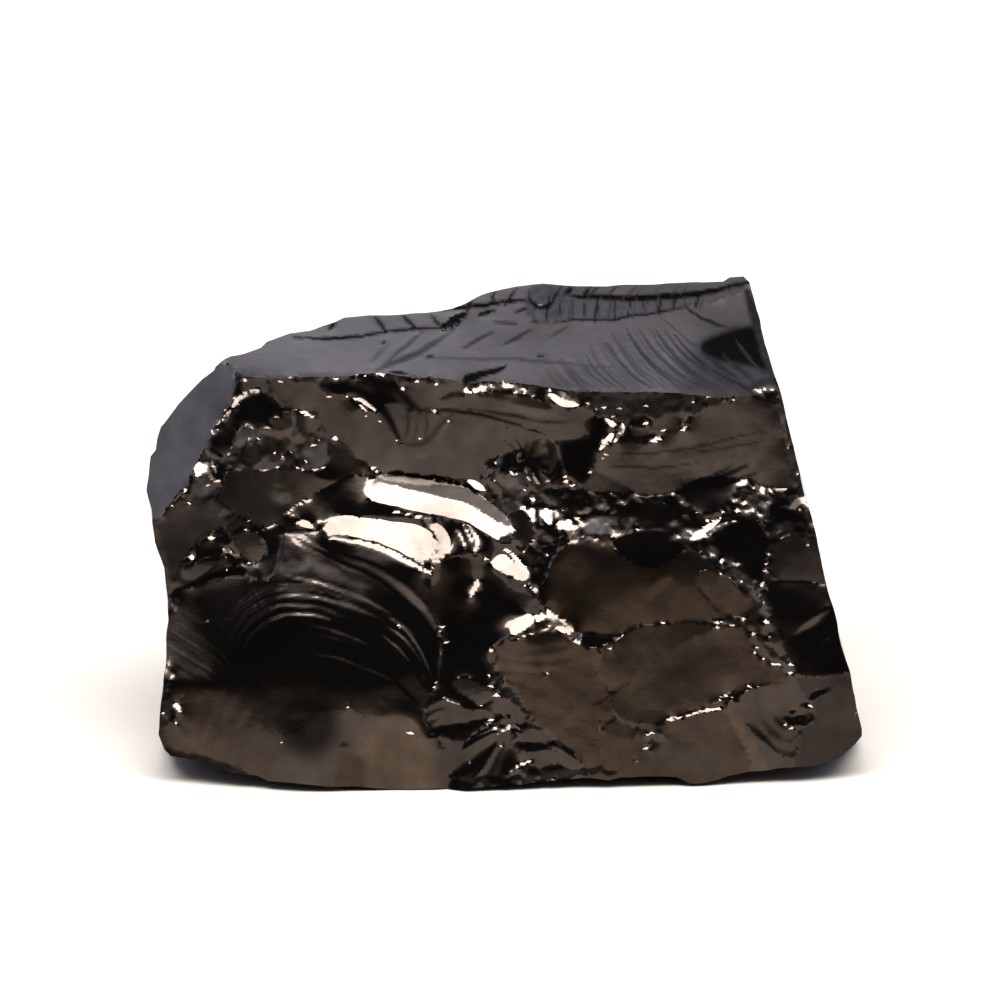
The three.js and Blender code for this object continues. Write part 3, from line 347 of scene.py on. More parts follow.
    part("groove line", fall=(0, FLASH), width=0.1, line=[(-8.4, 21.3), (-7, 21.1), (-5.4, 20.75)]),
    part("shoulder sliver", fall=(0, FLASH), outline=[
        (-16.2, 20.45), (-15.6, 20.75), (-14.9, 20.6), (-14.2, 20), (-15, 20.05)]),
    part("lower shoulder", at=(-10, 20), fall=(0, FLASH), bend=(0, 0.01, 0.03, 0.04), outline=[
        (-14.1, 20), (-13.5, 20.6), (-13, 21.05), (-12, 21.1), (-9, 20.65), (-7, 20.4), (-6, 20.1),
        (-5.4, 19.5), (-5.6, 18.6), (-6.1, 17.1), (-7, 17.8), (-8.5, 18.5), (-10, 19.1), (-12, 19.6),
        (-13.9, 19.9)]),
    part("shoulder end", at=(-5, 19), fall=(0.08, 0.42), bend=(0.1, 0.12, 0, 0), outline=[
        (-6.4, 20.85), (-5.6, 20.7), (-4.8, 20.3), (-4.2, 19.5), (-4.1, 18.7), (-4.5, 18), (-5.3, 17.2),
        (-5.8, 16.9), (-5.4, 18), (-5.1, 19), (-5.4, 19.8)]),
    part("gloss line", fall=(0.05, FLASH), width=0.2, firm=3, line=[
        (-13.4, 19.4), (-11.5, 19.1), (-10, 18.7), (-8.5, 18.1), (-7, 17.25), (-5.9, 16.8),
        (-5.4, 16.4)]),
    # Painted shade in the corner of the valley.
    part("valley corner", shade=0.85, soft=0.35, outline=[
        (-6.4, 16.1), (-5.7, 16.4), (-5, 16.9), (-4.7, 16.4), (-5.1, 15.6), (-6, 15.5)]),
    part("dome shadow", shade=0.9, width=0.16, soft=0.14, line=[
        (-17.6, 19.75), (-16.4, 19.8), (-15.2, 19.85), (-14.3, 19.9)]),
    part("pale ripple", fall=(0.05, -0.3), width=0.42, soft=0.4, dull=-0.08, line=[
        (-13.5, 18.1), (-11.5, 17.5), (-10, 16.9), (-8, 15.6), (-6.4, 14.2), (-5.4, 12.8), (-5, 11.6)]),
    part("pale slope", lift=0.05, width=0.45, soft=0.5, line=[
        (-12.5, 17.3), (-10.5, 16.6), (-8.5, 15.5), (-6.8, 14.3), (-5.7, 13), (-5.1, 11.6)]),
    part("left gloss line", lift=0.3, width=0.1, soft=0.1, line=[
        (-16.2, 19.2), (-15, 18.5), (-14, 18.05), (-13, 17.45), (-11.8, 16.85)]),
    part("second gloss line", lift=0.22, width=0.12, soft=0.1, line=[
        (-15.8, 19.6), (-14.6, 18.9), (-13.4, 18.2), (-12.2, 17.6)]),
    part("dome sheen", fall=(0.03, 0.2), soft=1.3, outline=[
        (-16.4, 18.4), (-14, 18.3), (-12.2, 17.3), (-12.4, 15.8), (-14, 15.6), (-15.8, 16.4)]),
    part("grey sheen", lift=0.05, width=0.35, soft=0.5, line=[
        (-15.5, 17.6), (-14, 16.9), (-12.4, 16.2), (-10.6, 15.6)]),
    part("ripple crest", lift=0.38, width=0.1, soft=0.1, line=[
        (-16.6, 16.4), (-15.6, 16.2), (-14.3, 15.85), (-13.2, 15.5), (-12.3, 15.2)]),
    part("ripple crest left", lift=0.06, width=0.12, soft=0.12, line=[
        (-20.5, 13.9), (-19.6, 15), (-18.6, 15.9), (-17.6, 16.3), (-16.4, 16.4)]),
    part("ripple crest right", lift=0.16, width=0.16, soft=0.16, line=[
        (-12.6, 15.3), (-11, 14.7), (-9.6, 14.1), (-8.4, 13.4), (-7.4, 12.5), (-6.6, 11.5)]),
    part("ripple crest end", lift=0.42, width=0.15, soft=0.14, line=[
        (-8.6, 13.2), (-7.6, 12.4), (-6.8, 11.4), (-6.1, 10.2), (-5.6, 9), (-5.4, 8)]),
    part("second crest", lift=0.18, width=0.14, soft=0.14, line=[
        (-17.6, 15), (-16, 15.15), (-14.6, 14.85), (-13, 14.45), (-11.4, 13.9), (-9.8, 13.3),
        (-8.6, 12.7)]),
    part("second crest end", lift=0.4, width=0.14, soft=0.14, line=[
        (-9, 12.5), (-8, 11.9), (-7.1, 11), (-6.4, 9.9), (-5.9, 8.8)]),
    part("fine crest", lift=0.25, width=0.09, soft=0.1, line=[
        (-9.6, 13.7), (-8.2, 12.85), (-7.2, 11.8), (-6.4, 10.6), (-5.9, 9.4)]),
    part("second fine crest", lift=0.25, width=0.09, soft=0.1, line=[
        (-7, 13.2), (-6.2, 12.2), (-5.6, 11), (-5.3, 9.6)]),
    part("hidden crest", lift=0.1, width=0.12, soft=0.14, line=[
        (-19, 13.6), (-18, 14.3), (-17, 14.2), (-15.5, 14), (-13.5, 13.6), (-11.5, 13.1)]),
    part("third crest", lift=0.17, width=0.2, soft=0.2, line=[
        (-15, 12.7), (-13.8, 12.45), (-12.6, 12.05), (-11.4, 11.6), (-10.4, 11.1)]),
    part("third crest end", lift=0.3, width=0.14, soft=0.14, line=[
        (-9.4, 11.9), (-8.2, 10.9), (-7.4, 10), (-6.8, 9.1), (-6.3, 8.1)]),
    part("inner ripple", lift=0.14, width=0.14, soft=0.14, line=[
        (-14.8, 12), (-13.4, 11.75), (-12.2, 11.4), (-11, 11)]),
    part("fourth crest", lift=0.2, width=0.14, soft=0.14, line=[
        (-14.9, 10.4), (-13.8, 10.35), (-12.6, 10.05), (-11.4, 9.6), (-10.2, 9.2)]),
    part("fourth crest end", lift=0.2, width=0.14, soft=0.14, line=[
        (-10.4, 9.3), (-9, 8.7), (-8, 8), (-7.2, 7.2), (-6.6, 6.5)]),
    part("ashy patch", fall=(0.05, 0.14), soft=0.7, rays=(-14.5, 2.8, 0.02, 0.1), powder=0.5, outline=[
        (-17.3, 18), (-16.4, 18.3), (-15.2, 17.8), (-14.9, 17), (-15.8, 16.55), (-17.4, 16.6)]),
    part("valley", at=(-2.8, 12), fall=(0.05, 0.05), bend=(-0.12, -0.12, 0.01, 0.01), outline=[
        (-5.7, 16.8), (-4.6, 17.8), (-2, 18.1), (-1.3, 17.6), (-1, 16.9), (-0.2, 16.4), (0.6, 15.8),
        (1.5, 15.3), (2.5, 14.7), (3, 14), (2.6, 13.6), (1.6, 13.5), (0.8, 12.6), (0.6, 11.9),
        (-0.3, 11.3), (-0.9, 11), (-1.3, 10.1), (-0.7, 9.3), (-0.4, 8.4), (-0.6, 7.2), (-1.6, 6.5),
        (-2.3, 6.2), (-3.8, 6.7), (-5.5, 7.4), (-4.9, 9), (-4.8, 10.5), (-5, 12), (-5.6, 13.5),
        (-5.7, 15)]),
    part("valley floor", at=(-2.5, 7.6), fall=(0.05, -0.27), bend=(0, 0, 0.05, 0.05), outline=[
        (-4, 8.5), (-3, 8.65), (-2, 8.4), (-1.2, 7.8), (-0.7, 7.2), (-1, 6.8), (-1.6, 6.5), (-2.3, 6.6),
        (-3.3, 7.2), (-3.9, 7.7)]),
    part("blob", at=(0.3, 17.3), fall=(0, FLASH), bend=(0, 0.05, 0.05, 0.05), outline=[
        (-1, 17.4), (-0.8, 17.8), (-0.4, 18.1), (0.1, 18.1), (0.7, 17.7), (1.2, 17.1), (1.6, 16.5),
        (1.8, 16.1), (1.3, 16.05), (0.6, 16.35), (-0.2, 16.75), (-0.8, 17.05)]),
    part("blob line", fall=(0.2, 0.62), width=0.22, firm=3, line=[
        (0.1, 18.5), (0.9, 17.9), (1.5, 17), (1.9, 16.2), (2.2, 15.6), (2.6, 15), (3, 14.1)]),
    part("ripple arc", fall=(0.1, FLASH), width=0.12, firm=3, line=[
        (-3.65, 20.1), (-3.3, 19.4), (-3, 18.7)]),
    part("second ripple arc", fall=(0.1, FLASH), width=0.12, firm=3, line=[
        (-3.15, 20.3), (-2.75, 19.7), (-2.5, 19)]),
    part("third ripple arc", fall=(0.1, FLASH), width=0.14, firm=3, line=[
        (-2.75, 20.3), (-2.2, 19.6), (-2, 18.9), (-2.15, 18.1)]),
    part("arc shadow", shade=0.9, width=0.08, line=[(-3.4, 20.3), (-3, 19.5), (-2.75, 18.8)]),
    part("second arc shadow", shade=0.9, width=0.08, line=[(-2.9, 20.4), (-2.45, 19.6), (-2.25, 18.8)]),
    part("valley glint", fall=(0, FLASH), width=0.2, firm=3, line=[
        (-2.5, 14.9), (-2.2, 15.5), (-2.05, 16.1)]),
    part("step light", fall=(0, FLASH), soft=0.25, firm=3, outline=[
        (0.5, 11.8), (0.7, 12.5), (1.2, 13.2), (1.9, 13.6), (2.4, 13.4), (2.2, 12.8), (1.7, 12.3),
        (1.1, 12)]),
    part("step corner", fall=(0, FLASH), firm=3, outline=[
        (2.4, 12.8), (2.6, 13.4), (2.9, 13.8), (3.1, 13.4), (3, 13)]),
    part("dark crumbs", fall=(0.1, 0.02), grit=(0.45, 0.3), outline=[
        (1.5, 18.6), (2.6, 19.4), (4, 19.4), (4.6, 18.8), (3.8, 17.8), (3.4, 16.6), (2.8, 15.4),
        (2.2, 15.7), (1.8, 16.8), (2, 17.6)]),
    part("right scar", at=(10, 15.4), fall=(0, -0.25), bend=(0.01, 0.012, 0.035, 0.05), satin=0.7,
         dull=0.2, warm=1,
         outline=[(3.1, 14.2), (3.2, 15.4), (3.4, 16.6), (3.9, 17.8), (4.6, 18.8), (6, 19.2), (8, 19.4),
                  (9, 19.9), (11, 20.2), (13, 20), (14.1, 19.2), (14.6, 18.3), (15.6, 17.6), (16.6, 16.8),
                  (17.6, 16), (18.8, 15), (19.4, 14.3), (19, 13.3), (17.2, 13.2), (15.5, 13),
                  (13.5, 12.85), (11.6, 12.75), (10.3, 12.6), (9.5, 12.1), (8.2, 11.8), (6.8, 11.85),
                  (5.6, 12), (4.4, 13)]),
    part("scar facet", fall=(0.08, -0.3), satin=0.6, dull=0.1, warm=0.8, outline=[
        (14.4, 16.2), (15, 15.4), (16, 14.2), (16.8, 13.3), (18.6, 13.4), (19.2, 14.2), (18, 15.5),
        (17, 16.4), (15.6, 17.2)]),
    part("scar edge", fall=(0, -0.27), soft=1.2, satin=0.7, dull=-0.12, warm=1, outline=[
        (3.5, 14.6), (3.8, 16.8), (4.9, 18.4), (6.4, 18.7), (6.2, 16), (5.2, 14)]),
    part("scar ellipse", at=(11.3, 18.6), fall=(0, 0.05), bend=(0.02, 0.02, 0.05, 0.02), dull=0.9,
         outline=[(8, 18.95), (8.9, 18.1), (9.7, 17.5), (10.5, 17.25), (11.7, 17.2), (12.6, 17.5),
                  (13.6, 18.1), (14.2, 18.7), (13.9, 19.3), (13, 20), (11, 20.2), (9.3, 19.8)]),
    part("scar hackles", soft=0.6, rays=(17, 21, 0.05, 0.3), powder=0.4, outline=[
        (11, 15), (11.4, 15.8), (12.6, 16.4), (12.9, 15.8), (12.2, 14.9)]),
    part("rim slope", fall=(-0.1, 0.22), soft=0.2, outline=[
        (3, 14), (3.6, 13.8), (4.3, 13.2), (5, 12.6), (5.4, 12.1), (5, 12), (4.3, 12.5), (3.8, 12.6),
        (3.3, 13)]),
    part("rim light", fall=(-0.1, 0.5), width=0.13, firm=3, line=[
        (3.4, 13.9), (3.9, 13.45), (4.5, 12.95), (5.1, 12.4), (5.4, 12)]),
    part("rim flash", fall=(-0.05, FLASH), outline=[
        (3.8, 12.45), (4.3, 12.6), (4.9, 12.3), (5.3, 12), (5.2, 11.8), (4.6, 12)]),
    part("rim dash", fall=(-0.05, FLASH), width=0.15, line=[(5, 11.6), (5.4, 11.4), (5.9, 11.3)]),
    part("step floor", fall=(0, -0.25), soft=0.2, satin=0.6, warm=0.8, outline=[
        (1.2, 11.8), (1.9, 12.35), (2.35, 12.8), (3, 12.9), (3.3, 12.5), (4, 12.2), (4.6, 11.8),
        (3, 11.8)]),
    part("black crescent", fall=(0, 0.1), outline=[
        (5.4, 11.95), (6.2, 12), (7, 11.85), (8.1, 11.75), (8.5, 11.5), (8.3, 11.2), (7.4, 11),
        (6.8, 10.9), (6, 11.2)]),
    part("crescent flash", fall=(0.05, FLASH), width=0.14, line=[
        (8.5, 11.5), (8.9, 11.65), (9.4, 11.85)]),
    part("second crescent flash", fall=(0.05, FLASH), width=0.1, line=[(8.7, 11.3), (9.2, 11.45)]),
    part("lower scar", at=(3.5, 8), fall=(0.02, -0.235), bend=(0.01, 0.005, 0, 0.01), satin=0.6,
         dull=0.08, warm=0.9,
         outline=[(-1.3, 10.1), (-0.9, 10.9), (-0.3, 11.2), (0.7, 11.6), (2.5, 12.15), (3.4, 12.3),
                  (4.6, 11.9), (5.2, 11.4), (6, 11.1), (6.8, 10.9), (7.3, 10.9), (7.7, 8.6), (8.1, 7.2),
                  (8.7, 5.2), (9.9, 4.8), (10, 4), (10, -2), (6.5, -2), (6.2, 2.1), (5.2, 2.9), (4, 4),
                  (2.8, 4.9), (2, 5.7), (1.5, 6.8), (1, 7.9), (0.3, 8.2), (-0.2, 8.9), (-0.7, 9.5)]),
    part("lower scar light", fall=(0, 0.55), width=0.1, line=[(0.6, 11.5), (1.5, 11.85), (2.6, 12.15)]),
    part("lower scar step", fall=(-0.02, -0.24), soft=0.3, arcs=(3, 22, 0.9, 0.04), satin=0.6, dull=0.05,
         warm=0.7,
         outline=[(-1.3, 10.1), (-0.6, 9.3), (0.4, 8.2), (2, 8.4), (4.5, 9.2), (5.8, 10.2), (5.2, 11.3),
                  (2.5, 11.9), (-0.3, 11.2)]),
    part("crescent shade", shade=1, soft=0.16, outline=[
        (5.9, 12), (6.6, 12.1), (7.4, 11.95), (8.2, 11.85), (8.6, 11.6), (8.4, 11.2), (7.5, 10.9),
        (6.6, 10.85), (6.05, 11.1), (5.9, 11.5)]),
    part("lower wedge", fall=(0.05, -0.3), satin=0.5, dull=0, warm=0.9, outline=[
        (6.4, 10.9), (7.3, 10.9), (7.7, 8.8), (8.3, 7), (8.8, 5.2), (7.1, 5), (7, 6.4), (7.5, 7.4)]),
    part("narrow scar", at=(12, 11.5), fall=(0.05, -0.2), twist=0.02, satin=0.8, dull=0.1, warm=0.8,
         outline=[(7.3, 10.9), (8.4, 11.2), (9.4, 12), (10.3, 12.6), (13.5, 12.85), (15.6, 12.8),
                  (16.2, 12.5), (15.2, 12.1), (13.5, 11.2), (12, 10.4), (10.5, 9), (9.4, 8.1), (8.2, 7.2),
                  (7.7, 8.6)]),
    part("lower right scar", at=(14, 8.5), fall=(0.02, -0.2), bend=(0, 0.01, -0.005, -0.02), twist=-0.006,
         satin=0.9, dull=-0.05, warm=0.8,
         outline=[(8.3, 7.1), (9.4, 8.1), (10.5, 9), (12, 10.4), (13.5, 11.2), (15.2, 12.1), (16.2, 12.6),
                  (18.4, 12.7), (19, 11.5), (19.3, 10.5), (19.9, 9.9), (21, 9.4), (22, 8.8), (22.8, 7.8),
                  (20.5, 8.2), (18.8, 7.7), (17.5, 7), (16.7, 6.35), (14.5, 5.9), (12.6, 5.35), (12, 5.1),
                  (8.8, 5.2)]),
    part("dark heart", shade=0.32, soft=3, outline=[
        (11, 8), (13, 10.4), (16, 11.3), (17.4, 10), (16, 8), (13.4, 6.8)]),
    part("dark crease", shade=0.6, width=0.1, soft=0.1, line=[
        (6.9, 6.5), (7.7, 6.9), (8.6, 7.6), (9.6, 8.3)]),
    part("bright edge", fall=(0.02, FLASH), width=0.13, line=[
        (12.5, 5.35), (13.2, 5.5), (15.3, 5.98), (16, 6.15), (16.8, 6.35)]),
    part("bright edge end", fall=(0.02, 0.5), width=0.1, line=[(16.1, 6.65), (16.7, 7.05), (17.6, 7.5)]),
    part("bottom scar", at=(15, 4), fall=(0.03, -0.24), bend=(0, 0.02, 0, 0), satin=0.7, dull=0.1,
         warm=0.7,
         outline=[(10, 5), (12, 5), (12.6, 5.25), (14.5, 5.75), (16.8, 6.2), (17.2, 5.4), (18, 4.3),
                  (18.6, 3.2), (19.8, 1.7), (20, -2), (10, -2)]),
    part("bottom facet", fall=(0.1, -0.25), satin=0.7, powder=0.1, dull=0.15, warm=0.6, outline=[
        (9.9, 4.8), (11, 4.2), (13, 4), (15.5, 3.1), (17.6, 1.8), (18, -2), (9.9, -2)]),
    part("little facet", fall=(-0.1, -0.32), outline=[
        (11.1, 3.9), (11.5, 4.6), (12.4, 4.4), (12.3, 3.5), (11.6, 3.4)]),
    part("shell band", fall=(0.1, -0.42), dull=-0.2, warm=0.8, outline=[
        (17, 6.6), (17.3, 5.4), (18, 4), (18.9, 2.6), (19.2, 0), (20.4, 0), (20.2, 2), (19.4, 3.3),
        (18.6, 4.6), (18.1, 5.8), (18, 7)]),
    part("shell scar", at=(20, 5.6), fall=(0.1, -0.28), bend=(-0.03, -0.03, -0.03, -0.03),
         arcs=(22.5, 6.5, 0.95, 0.07), satin=0.5, dull=-0.08, warm=0.3,
         outline=[(18, 7), (18.2, 5.8), (18.7, 4.9), (19.5, 4.2), (20.3, 3.4), (21.2, 2.4), (22.4, 2.4),
                  (22.3, 4), (21.6, 5), (21.8, 6), (22.6, 6.4), (22.6, 7.6), (21, 8.1), (19, 7.8)]),
    part("shell line", fall=(0, 0.03), width=0.18, line=[
        (18.8, 5), (19.5, 4.35), (20.3, 3.6), (21, 2.7), (21.3, 2.2)]),
    part("right foot", at=(25, 5.5), fall=(0.15, -0.23), bend=(0, 0.03, 0, 0), satin=0.8, dull=0.25,
         outline=[(22.3, -2), (22.4, 4.6), (23.8, 5), (24, 6.2), (23.4, 7), (22.8, 7.8), (22.2, 8.7),
                  (23.5, 8.5), (26, 9), (30, 9), (30, -2)]),
    part("black crumbs", fall=(0, 0.02), grit=(0.4, 0.35), outline=[
        (21.5, 5.2), (21.8, 6), (22.8, 6.2), (23.4, 7), (24, 7.8), (25.4, 7.9), (25.2, 7.5), (24, 7.2),
        (23.8, 6.2), (23.9, 5.3), (23, 4.8), (22, 4.9)]),
    part("right flat", at=(23, 12.5), fall=(0.15, 0.08), bend=(0.02, 0.03, 0.01, 0.02), outline=[
        (20.3, 16.1), (23.6, 16), (24.9, 15.6), (30, 15.6), (30, 9), (26.3, 9), (25, 8.8), (23.5, 8.5),
        (22.5, 8.8), (22, 10), (21.3, 11.6), (20.7, 13.4), (20.2, 15)]),
    part("flat streak", fall=(0.2, -0.36), width=0.3, soft=0.35, line=[
        (22.5, 11.9), (23.8, 12.9), (25, 13.9)]),
    part("second flat streak", fall=(0.2, -0.3), width=0.08, soft=0.12, line=[
        (24.2, 11.1), (25.3, 11.9)]),
    part("right shoulder", at=(22.5, 17.5), fall=(0.2, -0.23), bend=(0, 0.03, 0, 0.03), satin=0.9,
         dull=0.2,
         outline=[(20.3, 16.1), (20.5, 18.6), (21.5, 19.5), (22.5, 19.6), (30, 19), (30, 15.5),
                  (24.9, 15.6), (23.6, 16)]),
    part("right hollow", at=(18, 18.5), fall=(0.05, 0.05), bend=(-0.05, -0.05, -0.05, -0.05), dull=0.4,
         outline=[(14.8, 19), (16.6, 20.4), (18.2, 20.8), (20, 20.4), (20.5, 18.6), (20.1, 15.4),
                  (19.2, 15.6), (17.2, 16.8), (15.6, 18.2)]),
    part("hollow flank", fall=(-0.2, -0.2), soft=0.5, dull=0.3, outline=[
        (15.4, 19.2), (16.6, 20.1), (17.8, 20.4), (17, 19.6), (16.4, 18.6)]),
    part("crushed band", fall=(0, 0), grit=(0.5, 0.32), outline=[
        (1.8, 22.4), (2.4, 23), (4, 23.2), (5.6, 23), (8, 22.9), (10, 22.9), (12.4, 22.7), (14, 22.8),
        (14.5, 21), (14.6, 19.2), (14, 19.2), (13, 19.9), (11, 20.1), (9, 19.6), (8, 19.3), (6, 19.1),
        (4.6, 18.8), (4, 19.4), (2.8, 19.4), (2.2, 20.4)]),
    part("dark hollow", fall=(0, 0.06), outline=[
        (10.2, 22.3), (12.2, 22.2), (12.9, 21.4), (12.8, 20.2), (11.5, 20), (10.3, 20), (10, 21)]),
    part("powder", fall=(0, 0.05), soft=0.3, grit=(0.5, 0.25), powder=0.8, outline=[
        (6.1, 19.7), (6.3, 20.7), (7.2, 21), (8.4, 20.9), (9.6, 21.1), (10, 20.6), (9.6, 19.9),
        (8.4, 19.5), (7.2, 19.6)]),
    part("bead shade", shade=0.8, soft=0.3, outline=[
        (5.4, 18.9), (5.7, 19.9), (6.4, 20.4), (7.2, 20.2), (7.3, 19.4), (6.6, 18.9)]),
    part("ellipse shade", shade=0.9, soft=0.4, outline=[
        (9.8, 18.8), (10.6, 20.4), (12.4, 20.6), (13.3, 20), (13.7, 18.9), (12, 18.2)]),
    part("hollow shade", shade=0.85, soft=0.5, outline=[
        (9.2, 21.2), (9.6, 22.6), (11.6, 22.7), (13.6, 22.6), (13.8, 21), (12.8, 20.4), (10.4, 20.6)]),
    part("dark lens", fall=(0.02, 0.06), outline=[
        (13.7, 23), (14.3, 23.6), (15.5, 24), (17, 24), (18.3, 23.9), (18.9, 23.5), (19, 23),
        (17.6, 22.6), (16.8, 21.4), (15.2, 21.2), (14.3, 21.6), (14.2, 22.6)]),
    part("right crumbs", fall=(0, -0.02), grit=(0.45, 0.34), powder=0.15, outline=[
        (17.6, 22.8), (18.9, 23.2), (19.6, 23.3), (20.6, 23.1), (20.6, 21.6), (20.3, 20.4), (18.6, 20.9),
        (17, 20.9), (16.9, 21.6)]),
    part("right band", fall=(0.1, 0), grit=(0.6, 0.3), dull=0.75, outline=[
        (20.4, 23.1), (22, 23.2), (30, 23.4), (30, 19), (22.5, 19.5), (21.3, 19.5), (20.5, 18.8),
        (20.2, 20.4)]),
    part("pale smudge", fall=(0, 0.55), soft=0.3, powder=0.8, outline=[
        (17.6, 23.3), (18.2, 23.8), (18.8, 23.8), (18.5, 23.3)]),
    part("first bead", fall=(0, FLASH), outline=[
        (1.85, 21.5), (2.1, 21.7), (2.4, 21.6), (2.2, 21.1), (2.35, 20.5), (2.1, 20.6), (1.9, 21.1)]),
    part("second bead", fall=(0, FLASH), outline=[
        (2.75, 21.2), (3, 21.55), (3.3, 21.65), (3.8, 21.4), (3.9, 21.1), (3.6, 20.7), (3.65, 20.25),
        (3.2, 20.5), (2.9, 20.9)]),
    part("third bead", fall=(0, FLASH), outline=[
        (4, 19.95), (4.15, 20.4), (4.6, 20.7), (5.1, 20.8), (5.3, 20.4), (5.5, 20), (4.8, 19.85)]),
    # Painted shade in the gaps between the beads.
    part("bead gap", shade=1, width=0.16, soft=0.12, line=[(2.6, 21.9), (2.5, 21.2), (2.65, 20.4)]),
    part("second bead gap", shade=1, width=0.12, soft=0.12, line=[
        (3.95, 21.5), (3.9, 20.8), (3.8, 20.2)]),
    part("bead curl", fall=(0, FLASH), width=0.1, line=[
        (5.3, 20.95), (5.8, 20.7), (6.1, 20.3), (6.05, 20)]),
    part("long flash", fall=(-0.05, FLASH), firm=3, outline=[
        (14.2, 19.15), (14.7, 19.05), (15.6, 19.75), (16.7, 20.7), (16.5, 21), (15.2, 20.15)]),
    part("second long flash", fall=(0, FLASH), width=0.1, line=[(15, 19.15), (15.8, 19.7), (16.7, 20.4)]),
    part("upper right scar", at=(14, 25.5), fall=(0, -0.3), bend=(0, 0.004, 0.01, 0.01), satin=0.5,
         dull=-0.1,
         outline=[(7.2, 25.9), (8.2, 26.6), (9.6, 26.85), (10.6, 27), (12.5, 27.3), (13.4, 27.4),
                  (14.2, 28), (14.6, 28.8), (15.5, 29.4), (17, 29.8), (18.6, 30.3), (19.4, 31.2),
                  (19.6, 36), (30, 36), (30, 23.3), (21.9, 23.2), (20.5, 23.1), (19.5, 23.3), (18.5, 24),
                  (16, 24.1), (14, 23.7), (13.6, 23.1), (12.5, 22.6), (10.2, 22.5), (10, 22.9),
                  (8.7, 23.4), (7, 24.6)]),
    # Painted shade: faint dark hairlines across the scar.
    part("scratch", shade=0.45, width=0.1, line=[(7.6, 24.7), (10, 24.8), (12, 24.7), (15, 25.1)]),
    part("second scratch", shade=0.4, width=0.1, line=[(9, 25.8), (12.5, 25.9), (16, 26.6), (20, 27.6)]),
    part("third scratch", shade=0.4, width=0.09, line=[(14, 25.9), (17, 26.2), (20.8, 27)]),
    part("fourth scratch", shade=0.4, width=0.09, line=[(8.6, 26.7), (10.5, 26.8), (13, 27)]),
    # Painted shade along the hackle tufts.
    part("hackle tuft", shade=0.9, width=0.25, soft=0.4, line=[
        (13.4, 22.9), (15, 23.4), (16.6, 24), (18.6, 24.9)]),
    part("second hackle tuft", shade=0.9, width=0.13, soft=0.25, line=[
        (14, 22.8), (16, 23.2), (19.3, 24.3)]),
    part("third hackle tuft", shade=0.8, width=0.1, soft=0.22, line=[
        (14.2, 23.2), (16, 24.1), (17.6, 25)]),
    part("broad streak", fall=(0, -0.42), width=0.4, soft=0.8, line=[
        (19.2, 24.8), (20, 26.2), (20.7, 27.6)]),
    part("small facet", fall=(0.02, -0.22), satin=0.8, outline=[
        (5.6, 23.2), (6.3, 23.8), (7, 24.5), (8, 24.1), (9.2, 23.3), (10.1, 22.9), (8.5, 22.8),
        (6.5, 22.8)]),
    part("top crush", fall=(0, -0.08), grit=(0.42, 0.32), powder=0.1, dull=0.55, outline=[
        (6.9, 28.9), (6.3, 29.4), (5.6, 29.9), (4.6, 30.6), (4, 31), (4, 36), (19.6, 36), (19.4, 31),
        (18.4, 30.3), (17, 29.8), (15.4, 29.4), (14.6, 28.8), (13.2, 29.2), (12, 28.6), (11.5, 27.9),
        (9.6, 27.9), (9.2, 28.3), (8.4, 28.6)]),
    part("crush facet", fall=(0, -0.27), satin=0.8, outline=[
        (11.6, 28.1), (12.4, 28.8), (13.4, 29.2), (14.4, 28.9), (14.2, 28.1), (13.4, 27.5), (12, 27.5)]),
    part("crush hollow", fall=(0, 0.08), outline=[
        (9.5, 28.2), (10, 28.8), (11, 28.9), (11.6, 28.4), (11.2, 27.9), (10.1, 27.8)]),
    part("second crush hollow", fall=(0, 0.08), outline=[
        (10.2, 26.7), (10.6, 27.1), (11.4, 27.6), (12, 27.4), (11.3, 26.9), (10.9, 26.4)]),
    part("crush flash", fall=(0, FLASH), width=0.18, line=[
        (11.25, 26.75), (11.6, 26.95), (12.15, 27.05)]),
    part("second crush flash", fall=(0, FLASH), width=0.15, line=[(13.6, 27.65), (14.1, 27.85)]),
    part("third crush flash", fall=(0, FLASH), width=0.11, line=[
        (13.6, 28.1), (13.9, 28.45), (14.2, 28.65)]),
    part("top rim", fall=(-0.02, 0.2), firm=2, rays=(0, 44, 0.03, 0.35), powder=0.3, outline=[
        (-3.3, 30.5), (-3.1, 31), (-2, 31.3), (-0.8, 31.4), (0.5, 31.4), (2, 31.2), (3.4, 31),
        (4.6, 30.6), (6, 29.8), (6.2, 29.4), (5.4, 29.3), (4, 29.35), (3.4, 30), (2.4, 30), (1, 30.3),
        (-0.5, 30.5), (-2, 30.6)]),
    part("rim gap", fall=(0, 0.05), soft=0.2, outline=[
        (2.3, 30.1), (2.4, 31), (3.2, 30.9), (3.3, 30.2), (3, 29.9)]),
    part("rim flash bar", fall=(0, FLASH), outline=[
        (3.3, 30.4), (3.6, 30.5), (4.2, 30.3), (4.7, 29.9), (5.4, 29.75), (5.9, 29.5), (5.4, 29.35),
        (4.4, 29.35), (4, 29.7)]),
    part("rim shadow", fall=(0, 0.04), width=0.24, line=[
        (-4.9, 29.95), (-4.1, 30.3), (-3.2, 30.4), (-1, 30.3), (1, 30.1), (2.4, 29.75), (4, 29.25),
        (5, 29.1)]),
    part("bottom fan", at=(-0.5, 3), fall=(-0.05, -0.05), rays=(0.5, 5.2, 0.09, 0.42), outline=[
        (-4.4, 0.5), (-3.9, 2), (-3.3, 3.2), (-2.7, 4.1), (-1.5, 4.6), (-0.5, 4.8), (0.3, 5), (1, 5.1),
        (2, 5), (3, 4.7), (4, 3.9), (5, 2.9), (6.2, 2.1), (6.5, -2), (-4.4, -2)]),
    part("fan facet", fall=(0.1, -0.24), satin=0.6, outline=[
        (1.2, 4.7), (2.2, 4.8), (3.2, 4.4), (4, 3.7), (3, 3.5), (1.6, 3.8)]),
    part("fan hollow", fall=(0, 0.08), outline=[
        (0.5, 3.7), (1.4, 3.75), (3.2, 3.5), (2.8, 3), (1.9, 2.7), (1.1, 3.1)]),
